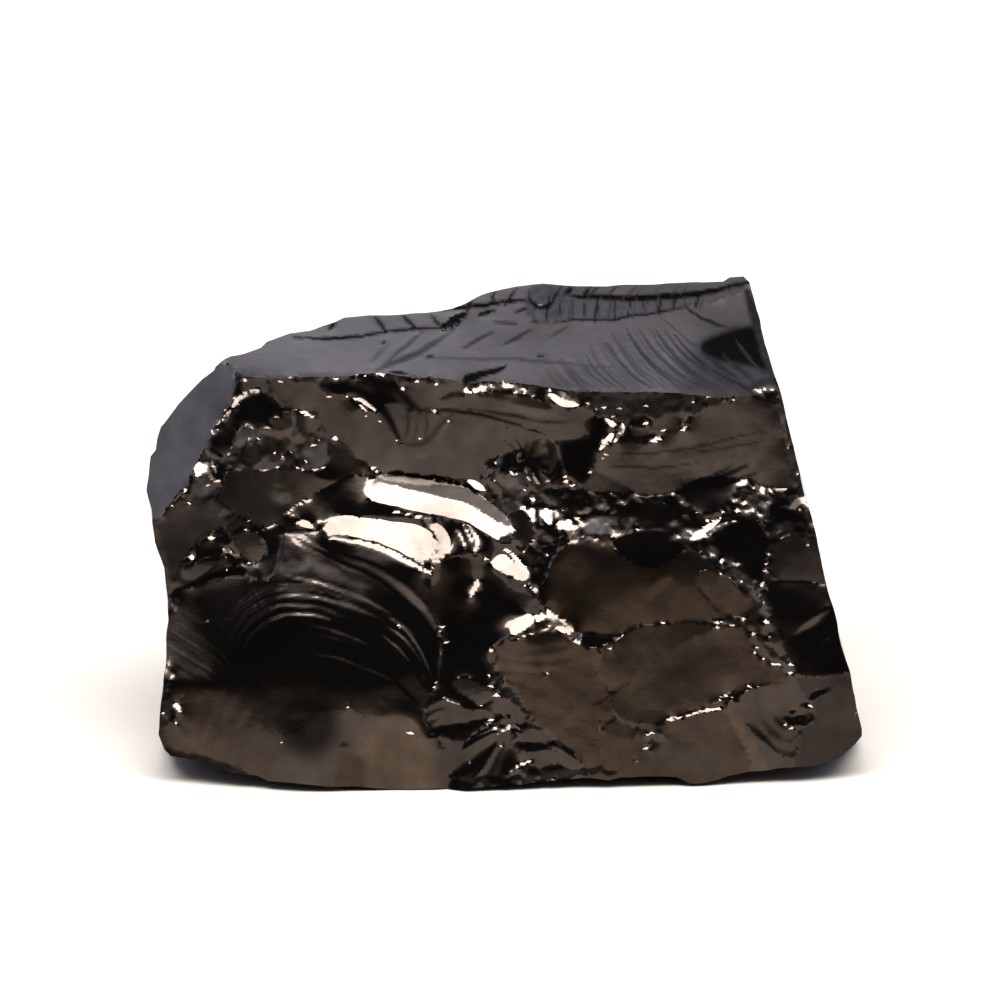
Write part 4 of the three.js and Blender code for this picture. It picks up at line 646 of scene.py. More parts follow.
    part("fan foot", fall=(0.05, -0.25), satin=0.6, outline=[
        (1.4, 1.9), (2.4, 2.9), (3.4, 3.3), (4.6, 2.7), (4, 1.8), (2.8, 1.6)]),
    part("fan light", fall=(0.1, FLASH), width=0.17, line=[(-0.4, 4.3), (0.1, 4.7), (0.9, 4.95)]),
    part("fan curl", fall=(0, 0.5), width=0.11, line=[(0.5, 1.4), (1.2, 1.9), (2.2, 2.3)]),
    part("swirl", fall=(0, 0.02), rays=(-2, 0, 0.08, 0.2), outline=[
        (-6, 4), (-5.3, 4.8), (-4.2, 5.1), (-3.2, 5.1), (-2.2, 5.4), (-1.2, 5.3), (-2.4, 4.4),
        (-3.2, 3.4), (-4, 3.8), (-5, 4)]),
    part("swirl facet", fall=(0.05, -0.28), arcs=(-4, 2, 0.7, 0.1), outline=[
        (-6.2, 6.1), (-5.3, 7.3), (-3.8, 6.6), (-2.2, 6.1), (-1, 6.2), (0.6, 6.2), (1.5, 5.6), (0.6, 5.2),
        (-1.2, 5.4), (-2.2, 5.5), (-3.4, 5.2), (-4.8, 5.1), (-6, 4.6)]),
    part("ridge light", fall=(0, FLASH), width=0.1, line=[(-0.4, 5.55), (0.5, 5.6)]),
    part("hook rim", fall=(0.1, FLASH), firm=3, outline=[
        (7.75, 28.65), (8.1, 28.5), (8.4, 28.35), (8.55, 27.95), (8.3, 27.75), (8, 28.05)]),
    part("hook edge", fall=(0.1, FLASH), firm=3, outline=[
        (8.15, 27.45), (8.45, 27.4), (8.35, 27), (7.95, 26.5), (7.45, 26.05), (7.3, 26.15), (7.6, 26.65),
        (7.85, 27.1)]),
    part("outer hook edge", fall=(0.1, FLASH), firm=3, outline=[
        (8.95, 28.25), (9.2, 28.1), (9.15, 27.6), (8.95, 27.15), (8.5, 26.65), (8.35, 26.75), (8.7, 27.3),
        (8.85, 27.8)]),
]

# Bands of crushed stone along the edges: their half-width, the size and tilt of their small facets,
# and their line.
CRUSHED = [
    (0.25, 0.3, 0.5, [(-20.4, 31.5), (-12, 31.6), (-9, 31.8), (-4, 31.3)]),
    (0.45, 0.35, 0.55, [(15, 18.2), (17, 17.2), (19.2, 15.6), (20.1, 14), (20.2, 12), (20.6, 10.6),
         (22.2, 9)]),
    (0.2, 0.3, 0.4, [(15.4, 12.95), (19, 12.8)]),
    (0.3, 0.35, 0.45, [(-0.7, 10), (-0.7, 8.6), (0.3, 7.4), (1.6, 6), (2.2, 5.2)]),
    (0.12, 0.3, 0.5, [(-5, 13), (-4.7, 11), (-5.1, 8.5)]),
    (0.12, 0.3, 0.5, [(-20.6, 31.4), (-21.3, 29.3), (-22.6, 27), (-24.1, 24), (-26.3, 21.2)]),
    (0.8, 0.4, 0.4, [(19.6, 30.6), (21, 30)]),
    (0.35, 0.35, 0.4, [(21.2, 29), (21.8, 26.8), (22.2, 25), (22.8, 23.4), (24, 19.4)]),
    (0.35, 0.3, 0.5, [(-11.4, 25.2), (-10, 24.8), (-9.2, 24.4)]),
    (0.2, 0.3, 0.55, [(20.3, 18.4), (20, 16)]),
    (0.3, 0.35, 0.4, [(-4.3, 0.8), (2, 0.6), (6.5, 1.6), (9, 1.2)]),
    (0.3, 0.35, 0.4, [(10, 4.4), (11.2, 4.4), (11.2, 2.6)]),
    (0.35, 0.35, 0.4, [(22.5, 5), (22.6, 2.6)]),
    (0.35, 0.35, 0.4, [(-26, 5), (-25.6, 9.4)]),
    (0.2, 0.3, 0.4, [(-25.6, 13.6), (-25.2, 14.6)]),
    (0.35, 0.3, 0.5, [(1.6, 22.4), (3, 22.6), (5, 21.4)]),
    (0.25, 0.3, 0.5, [(-0.2, 19.2), (0.8, 19.4)]),
    (0.2, 0.3, 0.4, [(3, 19.2), (6, 19.2), (8.4, 19.3)]),
    (0.25, 0.3, 0.4, [(12.9, 19.3), (14, 19.2), (15.4, 18.2)]),
]

# Upright bright flutes of the ledge under the front top edge: u, lower v, upper v and half-width.
RIM_FLUTES = [
    (-2.95, 30.5, 30.95, 0.11), (-2.55, 30.45, 30.7, 0.09), (-2.2, 30.5, 31, 0.1),
    (-1.6, 30.55, 31.1, 0.11), (-0.9, 30.65, 31.15, 0.08), (0.05, 30.75, 31.25, 0.09),
    (0.5, 30.7, 31.25, 0.11), (0.8, 30.4, 30.6, 0.1), (1.05, 31.05, 31.25, 0.09),
    (1.35, 30.6, 30.9, 0.11), (1.6, 30.3, 30.85, 0.09), (2.15, 30.1, 30.35, 0.09),
]

# Small bright facets: u, v and radius.
GLINTS = [
    (-20, 31.5, 0.15), (-17.2, 31.4, 0.08), (-12.9, 31.6, 0.1), (-10.6, 31.7, 0.09), (-9.3, 31.8, 0.1),
    (-6.6, 31.4, 0.1), (-5.2, 31.15, 0.12), (-7.75, 30.8, 0.14), (-5.3, 29.1, 0.15), (-19.4, 27.85, 0.09),
    (-19.6, 26.95, 0.12), (-19, 27, 0.12), (-17, 25.5, 0.13), (-17.6, 25.9, 0.09), (-16.5, 26, 0.09),
    (-14.6, 26.45, 0.11), (-14.2, 26.8, 0.09), (-15.2, 25.1, 0.12), (-17.4, 24.8, 0.09),
    (-14.4, 24.6, 0.08), (-13.9, 24.7, 0.08), (-24.6, 23.1, 0.09), (-24.2, 22, 0.07), (-22.8, 23.4, 0.08),
    (-21.3, 24.45, 0.1), (-13.4, 30.25, 0.09), (-12.7, 30.15, 0.09), (-12.1, 30.25, 0.1),
    (-10.7, 28.8, 0.08), (-10.1, 24.7, 0.12), (-9.75, 24.4, 0.14), (-9.5, 28.3, 0.08), (-7.9, 26.6, 0.1),
    (-8.3, 26.8, 0.08), (-4.3, 28.25, 0.11), (-6.5, 27, 0.08), (0.6, 24.35, 0.1), (1, 24.3, 0.08),
    (-0.7, 23.7, 0.09), (1.6, 23, 0.11), (2.3, 22.3, 0.16), (4.8, 23.7, 0.14), (4.7, 24.1, 0.1),
    (5.2, 23.4, 0.13), (2.7, 29.9, 0.11), (3.5, 30.7, 0.12), (6.5, 29.65, 0.11), (7.05, 29.25, 0.1),
    (7.7, 29.4, 0.09), (8.35, 28.65, 0.11), (8.9, 29.3, 0.08), (10.9, 29.5, 0.08), (10.9, 28.2, 0.12),
    (12.2, 27.8, 0.1), (12.3, 27.5, 0.09), (14.6, 29.8, 0.08), (15.6, 30.2, 0.09), (17.6, 29.9, 0.08),
    (16.9, 29.85, 0.07), (19.2, 30.7, 0.12), (6.65, 24.4, 0.1), (7.8, 25.8, 0.08), (7.5, 25.5, 0.08),
    (21.9, 26.4, 0.08), (22.5, 24.2, 0.08), (21.3, 28.4, 0.08), (22.7, 21.5, 0.11), (23.3, 18.8, 0.08),
    (16.3, 20.8, 0.13), (15.6, 20.7, 0.13), (16.8, 21.3, 0.1), (17.9, 21.4, 0.14), (18.4, 21.95, 0.13),
    (19.7, 21.1, 0.12), (13.3, 19.4, 0.12), (10.4, 19.95, 0.1), (5.45, 19, 0.08), (4.3, 19.3, 0.08),
    (7.6, 18.8, 0.07), (3.3, 18, 0.1), (1.5, 18.3, 0.08), (1.6, 15.7, 0.09), (-1.45, 17.7, 0.12),
    (15.3, 17.9, 0.09), (16.8, 17.6, 0.16), (17.9, 17.3, 0.12), (16.7, 16.6, 0.1), (19.2, 16.1, 0.11),
    (18.2, 16, 0.1), (19, 15.5, 0.12), (19.8, 15.7, 0.16), (20.1, 16.7, 0.12), (20.1, 17.3, 0.11),
    (20.3, 18.15, 0.1), (19.8, 13.9, 0.08), (20.1, 12.9, 0.16), (19.1, 11.9, 0.15), (20.6, 11.75, 0.09),
    (19.4, 10.9, 0.09), (19.3, 10.5, 0.1), (20, 10, 0.11), (20.7, 9.6, 0.1), (21.1, 9.6, 0.08),
    (22, 9.6, 0.11), (22.1, 8.9, 0.16), (18.4, 13.1, 0.12), (16.35, 12.9, 0.1), (16.4, 12.5, 0.12),
    (17.5, 12.7, 0.11), (12.2, 12.75, 0.1), (18.8, 7.9, 0.09), (8.2, 10.8, 0.1), (3.4, 12.55, 0.12),
    (3.2, 12.2, 0.08), (-1, 10.7, 0.15), (-1.1, 8.7, 0.08), (-1.05, 8, 0.1), (-0.6, 7.3, 0.13),
    (3.3, 9, 0.09), (0, 8.3, 0.09), (-4.8, 12.1, 0.1), (-4.4, 11.3, 0.08), (-4.7, 12.5, 0.08),
    (-1.15, 5.05, 0.12), (-1, 5.3, 0.1), (-2.6, 2.1, 0.09), (-0.3, 3.35, 0.08), (-7.2, 4.3, 0.14),
    (3.8, 0.75, 0.1), (-2, 0.7, 0.08), (7.4, 4.55, 0.09), (11.05, 4.25, 0.11), (11.4, 4.4, 0.09),
    (10.9, 3.2, 0.1), (10.2, 2.2, 0.1), (12.8, 5.4, 0.14), (15.6, 6.05, 0.16), (21.7, 4.9, 0.08),
    (22.2, 4.7, 0.1), (27.1, 5.8, 0.08), (23.6, 6.4, 0.1), (-22.5, 19.35, 0.19), (-24.05, 17.85, 0.18),
    (-21.35, 16.85, 0.08), (-25.6, 8.6, 0.08), (-24.75, 7, 0.07), (-25.2, 5.15, 0.1), (-26.2, 5.9, 0.08),
    (-22.7, 3.1, 0.07), (-22.7, 12.95, 0.08), (-11.9, 6.3, 0.06), (-9.3, 6.6, 0.06), (-17, 3.6, 0.06),
    (25.8, 12.1, 0.08), (25.9, 11.8, 0.07),
]

# The front edge of the flat top.
TOP_EDGE = [
    (-22, 33.1), (-21, 32.5), (-20.2, 31.85), (-19, 31.65), (-15, 31.65), (-12, 31.85), (-9, 32.05),
    (-7.5, 31.75), (-4, 31.6), (-3.2, 31.1), (-1, 31.4), (1, 31.3), (4, 30.8), (6, 30.5), (10, 30.55),
    (14, 30.5), (17, 30), (19, 30.3), (21.1, 30.8),
]

# Rough heights of the broken face: u, v and height.
GUIDE = [
    (-26, 1, 12.5), (-26, 8, 12.6), (-26, 15, 11.8), (-26, 20, 11.2), (-26, 26, 10.4), (-20, 2, 14.4),
    (-20, 9, 15.3), (-20, 16, 14.2), (-19, 22, 13.6), (-19, 27, 13.9), (-19, 31, 15.4), (-13, 2, 15.2),
    (-13, 10, 16.3), (-12, 16, 15.9), (-10, 20, 14.8), (-12, 24, 13.7), (-12, 28, 14.4), (-12, 31, 15.4),
    (-6, 2, 14.7), (-7, 10, 15.3), (-5, 22, 13.9), (-4, 26, 14.2), (-5, 30, 15.4), (-2.5, 11, 14),
    (-1, 3, 14.2), (0, 16, 14.8), (1, 20, 14.7), (2.5, 25, 14.5), (1, 29, 15.9), (3, 8, 15.1),
    (6, 14, 16.6), (6, 21, 15.6), (6, 26, 14.9), (9, 4, 14.2), (9, 29, 17.1), (12, 8, 15.6), (12, 15, 17),
    (12, 20, 16.5), (14, 25, 16.9), (15, 3, 13.8), (16, 29, 18), (18, 9, 14.9), (18, 14, 16.2),
    (17, 21, 16.2), (21, 5, 13.2), (21, 18, 15.2), (20, 25, 16.2), (20, 30, 17.6), (23, 12, 13.8),
    (25, 3, 12.1), (26, 8, 12), (25, 18, 13.6),
]

# The flat top behind its front edge, painted over the face on the same axes. A dark step in it is
# a thin line that leans to the front, darkened further with painted shade.
DARK_STEP = {"fall": (0, 1.1), "dull": 0.95, "firm": 0.5}
TOP = [
    part("table", at=(-6, 31), fall=(0, 2.72), bend=(0, 0.006, 0, 0), twist=-0.016, firm=0.15,
         joined=True,
         outline=TOP_EDGE + [(24, 31), (24, 44), (-22, 44)]),
    part("ledge", width=0.12, **DARK_STEP, line=[
        (-16.2, 34.9), (-15, 34.8), (-13, 34.7), (-12, 34.8), (-10, 35.1), (-9, 35.2)]),
    part("thin ledge", width=0.1, **DARK_STEP, line=[
        (-9.4, 35.2), (-8, 35.35), (-6, 35.6), (-4.6, 35.6)]),
    part("ledge blotch", fall=(0, 0.1), firm=0.3, joined=True, grit=(0.5, 0.4), dull=0.9, outline=[
        (-5, 35.5), (-4.2, 35.5), (-3.4, 36), (-3, 36.7), (-3.5, 36.8), (-4.2, 36.3), (-4.9, 35.8)]),
    part("step", fall=(0.03, 1.1), width=0.16, firm=0.5, dull=0.95, line=[
        (-6, 36.9), (-3, 37.2), (0, 37.6), (2.5, 37.9)]),
    part("fluted band", fall=(0, 2.2), firm=0.5, joined=True, rays=(10, -60, 0.004, 0.5), dull=0.3,
         outline=[(1.8, 36.3), (4, 36), (5.5, 36.15), (8, 36.1), (9, 36.3), (10, 36.6), (11, 36.5),
                  (12, 36.8), (13.3, 37.05), (14.2, 37.1), (15, 37.35), (16, 37.6), (17, 38),
                  (18.5, 38.5), (18.6, 38.9), (17, 38.5), (15, 38.1), (13, 37.9), (11, 37.85), (9, 37.9),
                  (7, 38), (5, 38.05), (3, 37.6)]),
    part("broken corner", fall=(0.2, 2.2), soft=0.4, grit=(0.4, 0.5), dull=0.45, outline=[
        (1.6, 36.3), (1.6, 38.2), (2.4, 39.2), (4.2, 39.2), (5, 38.4), (4.8, 36.4), (3.4, 36.2)]),
    part("rear ledge", fall=(0.03, 1.5), width=0.26, soft=0.22, firm=0.5, dull=1, line=[
        (4.8, 38.15), (7, 38), (9, 37.95), (11, 37.93), (13, 38), (15, 38.25), (17, 38.7), (19.8, 39.3)]),
    part("band foot", width=0.07, **DARK_STEP, line=[
        (2, 36.05), (4, 35.95), (5.5, 36.15), (8, 36.15), (9, 36.3), (10, 36.6), (11, 36.5), (12, 36.85),
        (13.5, 37.1), (15, 37.35)]),
    part("fold", fall=(0.2, 1.8), width=0.14, firm=0.4, dull=0.8, line=[
        (13.9, 37.2), (14.5, 36.8), (15.3, 36.3), (16.3, 35.8), (17.4, 35.5)]),
    part("long fold", fall=(0.2, 2), width=0.12, firm=0.4, dull=0.55, line=[
        (11.9, 36.7), (13, 35.7), (14.2, 34.6), (15.6, 33.3), (17.4, 32.2)]),
    part("dark side", shade=0.62, soft=2.4, outline=[
        (12.6, 30), (14.6, 32), (14, 34), (15.8, 35.4), (18, 35.8), (21, 36), (22, 30)]),
    part("dark patch", shade=1, soft=0.7, outline=[
        (14.9, 34.2), (15.8, 34.8), (17.2, 35.3), (18.4, 35.6), (20.5, 36.1), (21.6, 31.4), (20, 32.2),
        (18.6, 32.6), (16.8, 32.9), (15.2, 33.4)]),
    part("crushed side", fall=(0.2, 2.2), width=0.55, soft=0.4, firm=0.3, grit=(0.4, 0.6), dull=0.8,
         line=[(21.2, 30.6), (20.6, 32.4), (20.1, 34.4), (19.5, 36.4), (18.9, 38.4)]),
    # Painted shade over the crumbs at the right end of the front edge.
    part("corner crumbs", shade=0.9, soft=0.5, outline=[
        (18.7, 30.4), (19.4, 31.7), (21.6, 31.6), (21.8, 29.9), (20, 29.8)]),
    # Painted shade: the notch is only darkened, not cut.
    part("notch", shade=1, soft=0.16, outline=[
        (-3.3, 31.1), (-3.2, 31.9), (-2.6, 32), (-1.6, 32.3), (-0.4, 32.5), (0.4, 32.8), (0, 32.2),
        (-0.7, 31.9), (-1.6, 31.6), (-2.4, 31.2)]),
    # Painted shade: a dark sliver at the front edge.
    part("sliver", shade=1, width=0.16, soft=0.14, line=[(-9, 32), (-8.2, 32.2), (-7.4, 31.95)]),
    part("spot", width=0.08, **DARK_STEP, line=[(-5.9, 33.3), (-5.4, 33.35)]),
    part("second spot", width=0.08, **DARK_STEP, line=[(2.5, 33.3), (3.1, 33.35)]),
    part("third spot", width=0.1, **DARK_STEP, line=[(-9.4, 34.35), (-9.1, 34.4)]),
    part("faint line", fall=(0, 2.1), width=0.13, firm=0.3, dull=0.45, line=[
        (-6, 33.15), (-1, 33.15), (2, 33), (5, 32.7), (8.4, 32.45)]),
    part("rear line", width=0.07, **DARK_STEP, line=[(-0.8, 36), (1, 35.85)]),
]

# Torn ridges and cracks of the top: their half-width, slope and line.
TEARS = [
    (0.14, 0.1, [(-13.5, 35.4), (-13, 36.1)]),
    (0.14, 0.1, [(-10, 36.5), (-9.3, 35.6), (-9, 35.2)]),
    (0.12, 0.1, [(-7.8, 36.5), (-6.8, 35.5)]),
    (0.12, 0.1, [(-5.6, 36.6), (-4.8, 35.6)]),
    (0.12, 0.1, [(-3.2, 36.3), (-2.8, 36.9)]),
    (0.1, 0.2, [(-3, 37.3), (-2.5, 37.6)]),
    (0.16, 0.05, [(-2.2, 37.25), (-0.8, 37.4)]),
    (0.14, 0.05, [(-2, 36.6), (-0.8, 36.9)]),
    (0.1, 0.1, [(-0.6, 38.5), (-1, 37.9), (-0.4, 37.3)]),
    (0.1, 0.1, [(0.9, 38.6), (0.4, 37.9), (0, 37.3)]),
    (0.12, 0.1, [(2, 38.5), (2, 37.6), (2.7, 37.1), (3.7, 37.4), (3.9, 38), (4.5, 38.8)]),
    (0.09, 0.3, [(0.8, 36.8), (1.8, 37.1)]),
    (0.1, 0.1, [(5, 38.3), (5.3, 38.6)]),
    (0.1, 0.1, [(6, 38), (6.6, 38.5)]),
    (0.2, 1.1, [(-9.8, 32.2), (-8.3, 32.9), (-7, 33.4), (-5.5, 34.2), (-4.7, 34.9), (-3.8, 35.6)]),
    (0.12, 1, [(-9.6, 32.3), (-8, 33.8), (-6.3, 35.3)]),
    (0.1, 1.2, [(-10.2, 33), (-9, 34.2)]),
    (0.12, 1, [(-3.2, 34), (-2, 34.6), (-0.8, 35.3)]),
    (0.12, 1, [(0, 34.3), (1, 34.8), (2, 35.4)]),
    (0.1, 1.2, [(3.6, 34.8), (4.8, 35.6)]),
    (0.12, 0.6, [(15.4, 33.6), (16.4, 32.6), (17.8, 31.6)]),
    (0.12, 0.6, [(16.8, 33.4), (18, 32.3), (19.2, 31.4)]),
    (0.12, 0.6, [(17.8, 34.6), (19, 33), (20, 31.8)]),
    (0.1, 0.8, [(14.8, 34.2), (15.6, 32.6), (16.8, 31.2)]),
]

# Rough heights of the top above the floor: u, v and height.
TOP_GUIDE = [
    (-20, 32.6, 30.6), (-14, 33, 30.75), (-8, 33, 30.75), (-3, 33, 30.7), (3, 32.5, 30.5), (9, 32, 30.25),
    (14, 31.6, 30.05), (19, 31.4, 29.9), (-14, 34.6, 30.8), (-7, 35, 30.85), (0, 35.4, 30.9),
    (7, 35.3, 30.75), (13, 35.5, 30.7), (19, 35.4, 30.6), (-19, 35, 30.8), (-14, 36.8, 31.6),
    (-10, 37.4, 32), (-5, 38, 32.4), (-2, 39, 33.2), (2, 39.8, 33.6), (8, 39.8, 33.6), (14, 40, 33.8),
    (19, 41, 34.8),
]

# Scars of the hidden sides, on each side's own axes. "at" has the height there too, "fall" and "bend"
# shape the scar from there, and "wall"
# is the slope of the wall round the scar.
BACK_SCARS = [
    part("left hollow", at=(-9, 26, 8.4), fall=(-0.14, 0.3), bend=(-0.012, -0.012, 0, 0), wall=0.6,
         outline=[(-30, 36), (-4, 36), (-2.5, 27), (-6, 17), (-13, 11), (-30, 14)]),
    part("upper right", at=(9, 25, 11.9), fall=(-0.03, 0.05), bend=(0.006, 0.006, 0.004, 0), wall=0.6,
         outline=[(-3.5, 36), (-2, 27), (3, 19), (12, 15), (30, 17), (30, 36)]),
    part("round scar", at=(6, 11, 10.8), fall=(0.02, 0.04), bend=(-0.02, -0.02, -0.02, -0.02), wall=0.6,
         outline=[(-5, 18), (2, 19.5), (12, 15.5), (20, 16), (21, 6), (12, 3), (0, 5), (-6, 10)]),
    part("belly", at=(-2, 8, 12.2), fall=(0, -0.05), bend=(0.012, 0.006, 0.012, 0.01), outline=[
        (-30, 20), (30, 20), (30, -3), (-30, -3)]),
    part("foot chip", at=(-14, 3, 9.4), fall=(-0.1, -0.5), wall=0.6, outline=[
        (-24, 7), (-12, 8), (-5, 4), (-3, -3), (-26, -3)]),
]

END_SCARS = [
    part("upper end", at=(18, 26, 19.3), fall=(0, 0.55), bend=(0.01, 0.01, 0, 0.08), outline=[
        (-20, 38), (36, 38), (36, 20), (16, 17), (8, 20), (-20, 21)]),
    part("lower end", at=(10, 10, 20.4), fall=(-0.03, -0.03), bend=(0.012, 0.012, 0.006, 0.006), outline=[
        (-20, 24), (36, 24), (36, -3), (-20, -3)]),
    part("end chip", at=(16, 6, 18.6), fall=(0.1, -0.2), bend=(-0.01, -0.01, -0.01, -0.01), outline=[
        (9, 13), (18, 16), (24, 8), (20, 0), (11, -3)]),
]

SIDE_SCARS = [
    part("clean break", at=(0, 0, 0), fall=(0, 0), bend=(0.004, 0, 0.003, 0), outline=[
        (-40, -40), (40, -40), (40, 40), (-40, 40)]),
    part("rear scar", at=(-13, -4, -0.6), fall=(-0.14, 0), bend=(-0.01, -0.01, 0, 0), wall=0.3, outline=[
        (-8, 4), (-10, -2), (-8, -12), (-12, -24), (-40, -24), (-40, 6)]),
]

FOOT_SCARS = [
    part("flat", at=(0, 0, 0), fall=(0, 0), outline=[(-40, -30), (40, -30), (40, 30), (-40, 30)]),
    part("left rise", at=(-19, 0, 0), fall=(-0.17, 0.01), outline=[
        (-40, -30), (-10, -30), (-10, 30), (-40, 30)]),
    part("right rise", at=(20, 0, 0), fall=(0.14, 0.02), outline=[
        (10, -30), (40, -30), (40, 30), (10, 30)]),
]

# The outline of the whole stone on the axes of the broken face.
PROFILE = [
    (-22, 33.2), (-20, 33.6), (-18.8, 34), (-18.3, 34.6), (-17, 35), (-15, 35.3), (-13, 36.1),
    (-12, 36.6), (-8, 36.6), (-5, 36.8), (-4, 37), (-2, 38.1), (0, 38.6), (1, 38.8), (3, 39), (8, 38.9),
    (12, 38.9), (15, 39.1), (17, 39.2), (17.5, 39.55), (18.6, 39.65), (19.1, 39.2), (20, 35.2),
    (21.1, 30.8), (22, 27.2), (23, 23.5), (24.2, 18.5), (25, 15.2), (26.8, 8), (27.5, 4.6), (27.5, 4.1),
    (27, 3.45), (26, 2.6), (25, 2.2), (24, 1.9), (21, 1.5), (18.6, 1.3), (17, 1), (15, 0.4), (14.3, 0.35),
    (13.3, 0.85), (9, 0.95), (8, 0.65), (6, 0.85), (3.5, 0.6), (1, 0.3), (-3, 0.05), (-8, 0.1),
    (-13, 0.2), (-15, 0.4), (-18.2, 0.6), (-19, 1.05), (-21, 1.25), (-23, 1.9), (-24, 2.3), (-25.7, 2.5),
    (-26.2, 3), (-26.6, 4.2), (-26.45, 5.5), (-26.2, 8), (-26, 11), (-25.8, 13), (-26, 15), (-26.2, 17),
    (-26.9, 19), (-27.2, 21.5), (-27.55, 23), (-27.4, 24.5), (-27.2, 25.6), (-26.8, 26.1), (-26.7, 27),
    (-26.5, 27.9), (-26, 28.5), (-25, 29.7), (-24, 31.1), (-23.1, 31.8), (-22.4, 32.3),
]


def smooth(t):
    """0 to 1 as t does, eased at both ends."""
    t = np.clip(t, 0, 1)
    return t * t * (3 - 2 * t)


def cells(u, v, size, offset):
    """The square cell that each point is in, and the point's place in it."""
    a, b = u / size + offset[0], v / size + offset[1]
    i, j = np.floor(a).astype(int), np.floor(b).astype(int)
    return i, j, a - i, b - j


def noise(u, v, size, seed):
    """Smooth noise from -1 to 1 with features of about that size."""
    table = np.random.RandomState(seed).uniform(-1, 1, (128, 128))
    i, j, s, t = cells(u, v, size, (37.3, 51.7))
    s, t = smooth(s), smooth(t)
    i0, j0, i1, j1 = i % 128, j % 128, (i + 1) % 128, (j + 1) % 128
    low = table[i0, j0] * (1 - s) + table[i1, j0] * s
    high = table[i0, j1] * (1 - s) + table[i1, j1] * s
    return low * (1 - t) + high * t


def facets(u, v, size, seed=7):
    """A random pair from -1 to 1 for each point, the same all over each small irregular facet."""
    rng = np.random.RandomState(seed)
    places, values = rng.uniform(0, 1, (128, 128, 2)), rng.uniform(-1, 1, (128, 128, 2))
    i, j, s, t = cells(u, v, size, (500.0, 500.0))
    best, pick = np.full(u.shape, 9.0), np.zeros(u.shape + (2,))
    for di in (-1, 0, 1):
        for dj in (-1, 0, 1):
            p, q = (i + di) % 128, (j + dj) % 128
            d = np.hypot(s - di - places[p, q, 0], t - dj - places[p, q, 1])
            closer = d < best
            best = np.where(closer, d, best)
            pick = np.where(closer[..., None], values[p, q], pick)
    return pick[..., 0], pick[..., 1]


def wander_at(u, v, amount, size, fine_size, fine):
    """How far the outlines are pushed aside at each point, in coarse waves with finer ones on them."""
    return (amount * (noise(u, v, size, 1) + fine * noise(u, v, fine_size, 2)),
            amount * (noise(u, v, size, 3) + fine * noise(u, v, fine_size, 4)))


def rounded(outline, closed=True):
    """The line with its corners cut twice, so that it curves."""
    for _ in range(2):
        ends = outline[1:] + outline[:1] if closed else outline[1:]
        cut = [point for (u0, v0), (u1, v1) in zip(outline, ends) for point in (
            (0.75 * u0 + 0.25 * u1, 0.75 * v0 + 0.25 * v1),
            (0.25 * u0 + 0.75 * u1, 0.25 * v0 + 0.75 * v1))]
        outline = cut if closed else [outline[0]] + cut[1:-1] + [outline[-1]]
    return outline


def around(line, u, v, margin):
    """Which points are in the box round a line, with a margin."""
    us, vs = zip(*line)
    return ((u > min(us) - margin) & (u < max(us) + margin)
            & (v > min(vs) - margin) & (v < max(vs) + margin))


def nearest(line, u, v, closed):
    """Distance to a line (minus inside a closed one); the nearest point, its place and direction."""
    ends = line[1:] + line[:1] if closed else line[1:]
    best = np.full(u.shape, 1e9)
    found = np.zeros((5,) + u.shape)
    inside = np.zeros(u.shape, bool)
    lengths = [math.hypot(b[0] - a[0], b[1] - a[1]) for a, b in zip(line, ends)]
    start, total = 0.0, sum(lengths)
    for (u0, v0), (u1, v1), length in zip(line, ends, lengths):
        du, dv = u1 - u0, v1 - v0
        t = np.clip(((u - u0) * du + (v - v0) * dv) / (length * length), 0, 1)
        pu, pv = u0 + t * du, v0 + t * dv
        d = (u - pu) ** 2 + (v - pv) ** 2
        closer = d < best
        best[closer] = d[closer]
        place = (start + t * length) / total
        for row, values in enumerate((pu, pv, place)):
            found[row][closer] = values[closer]
        found[3][closer], found[4][closer] = du / length, dv / length
        start += length
        if closed and dv:
            inside ^= ((v0 > v) != (v1 > v)) & (u < u0 + (v - v0) * du / dv)
    return np.where(inside, -1, 1) * np.sqrt(best), found


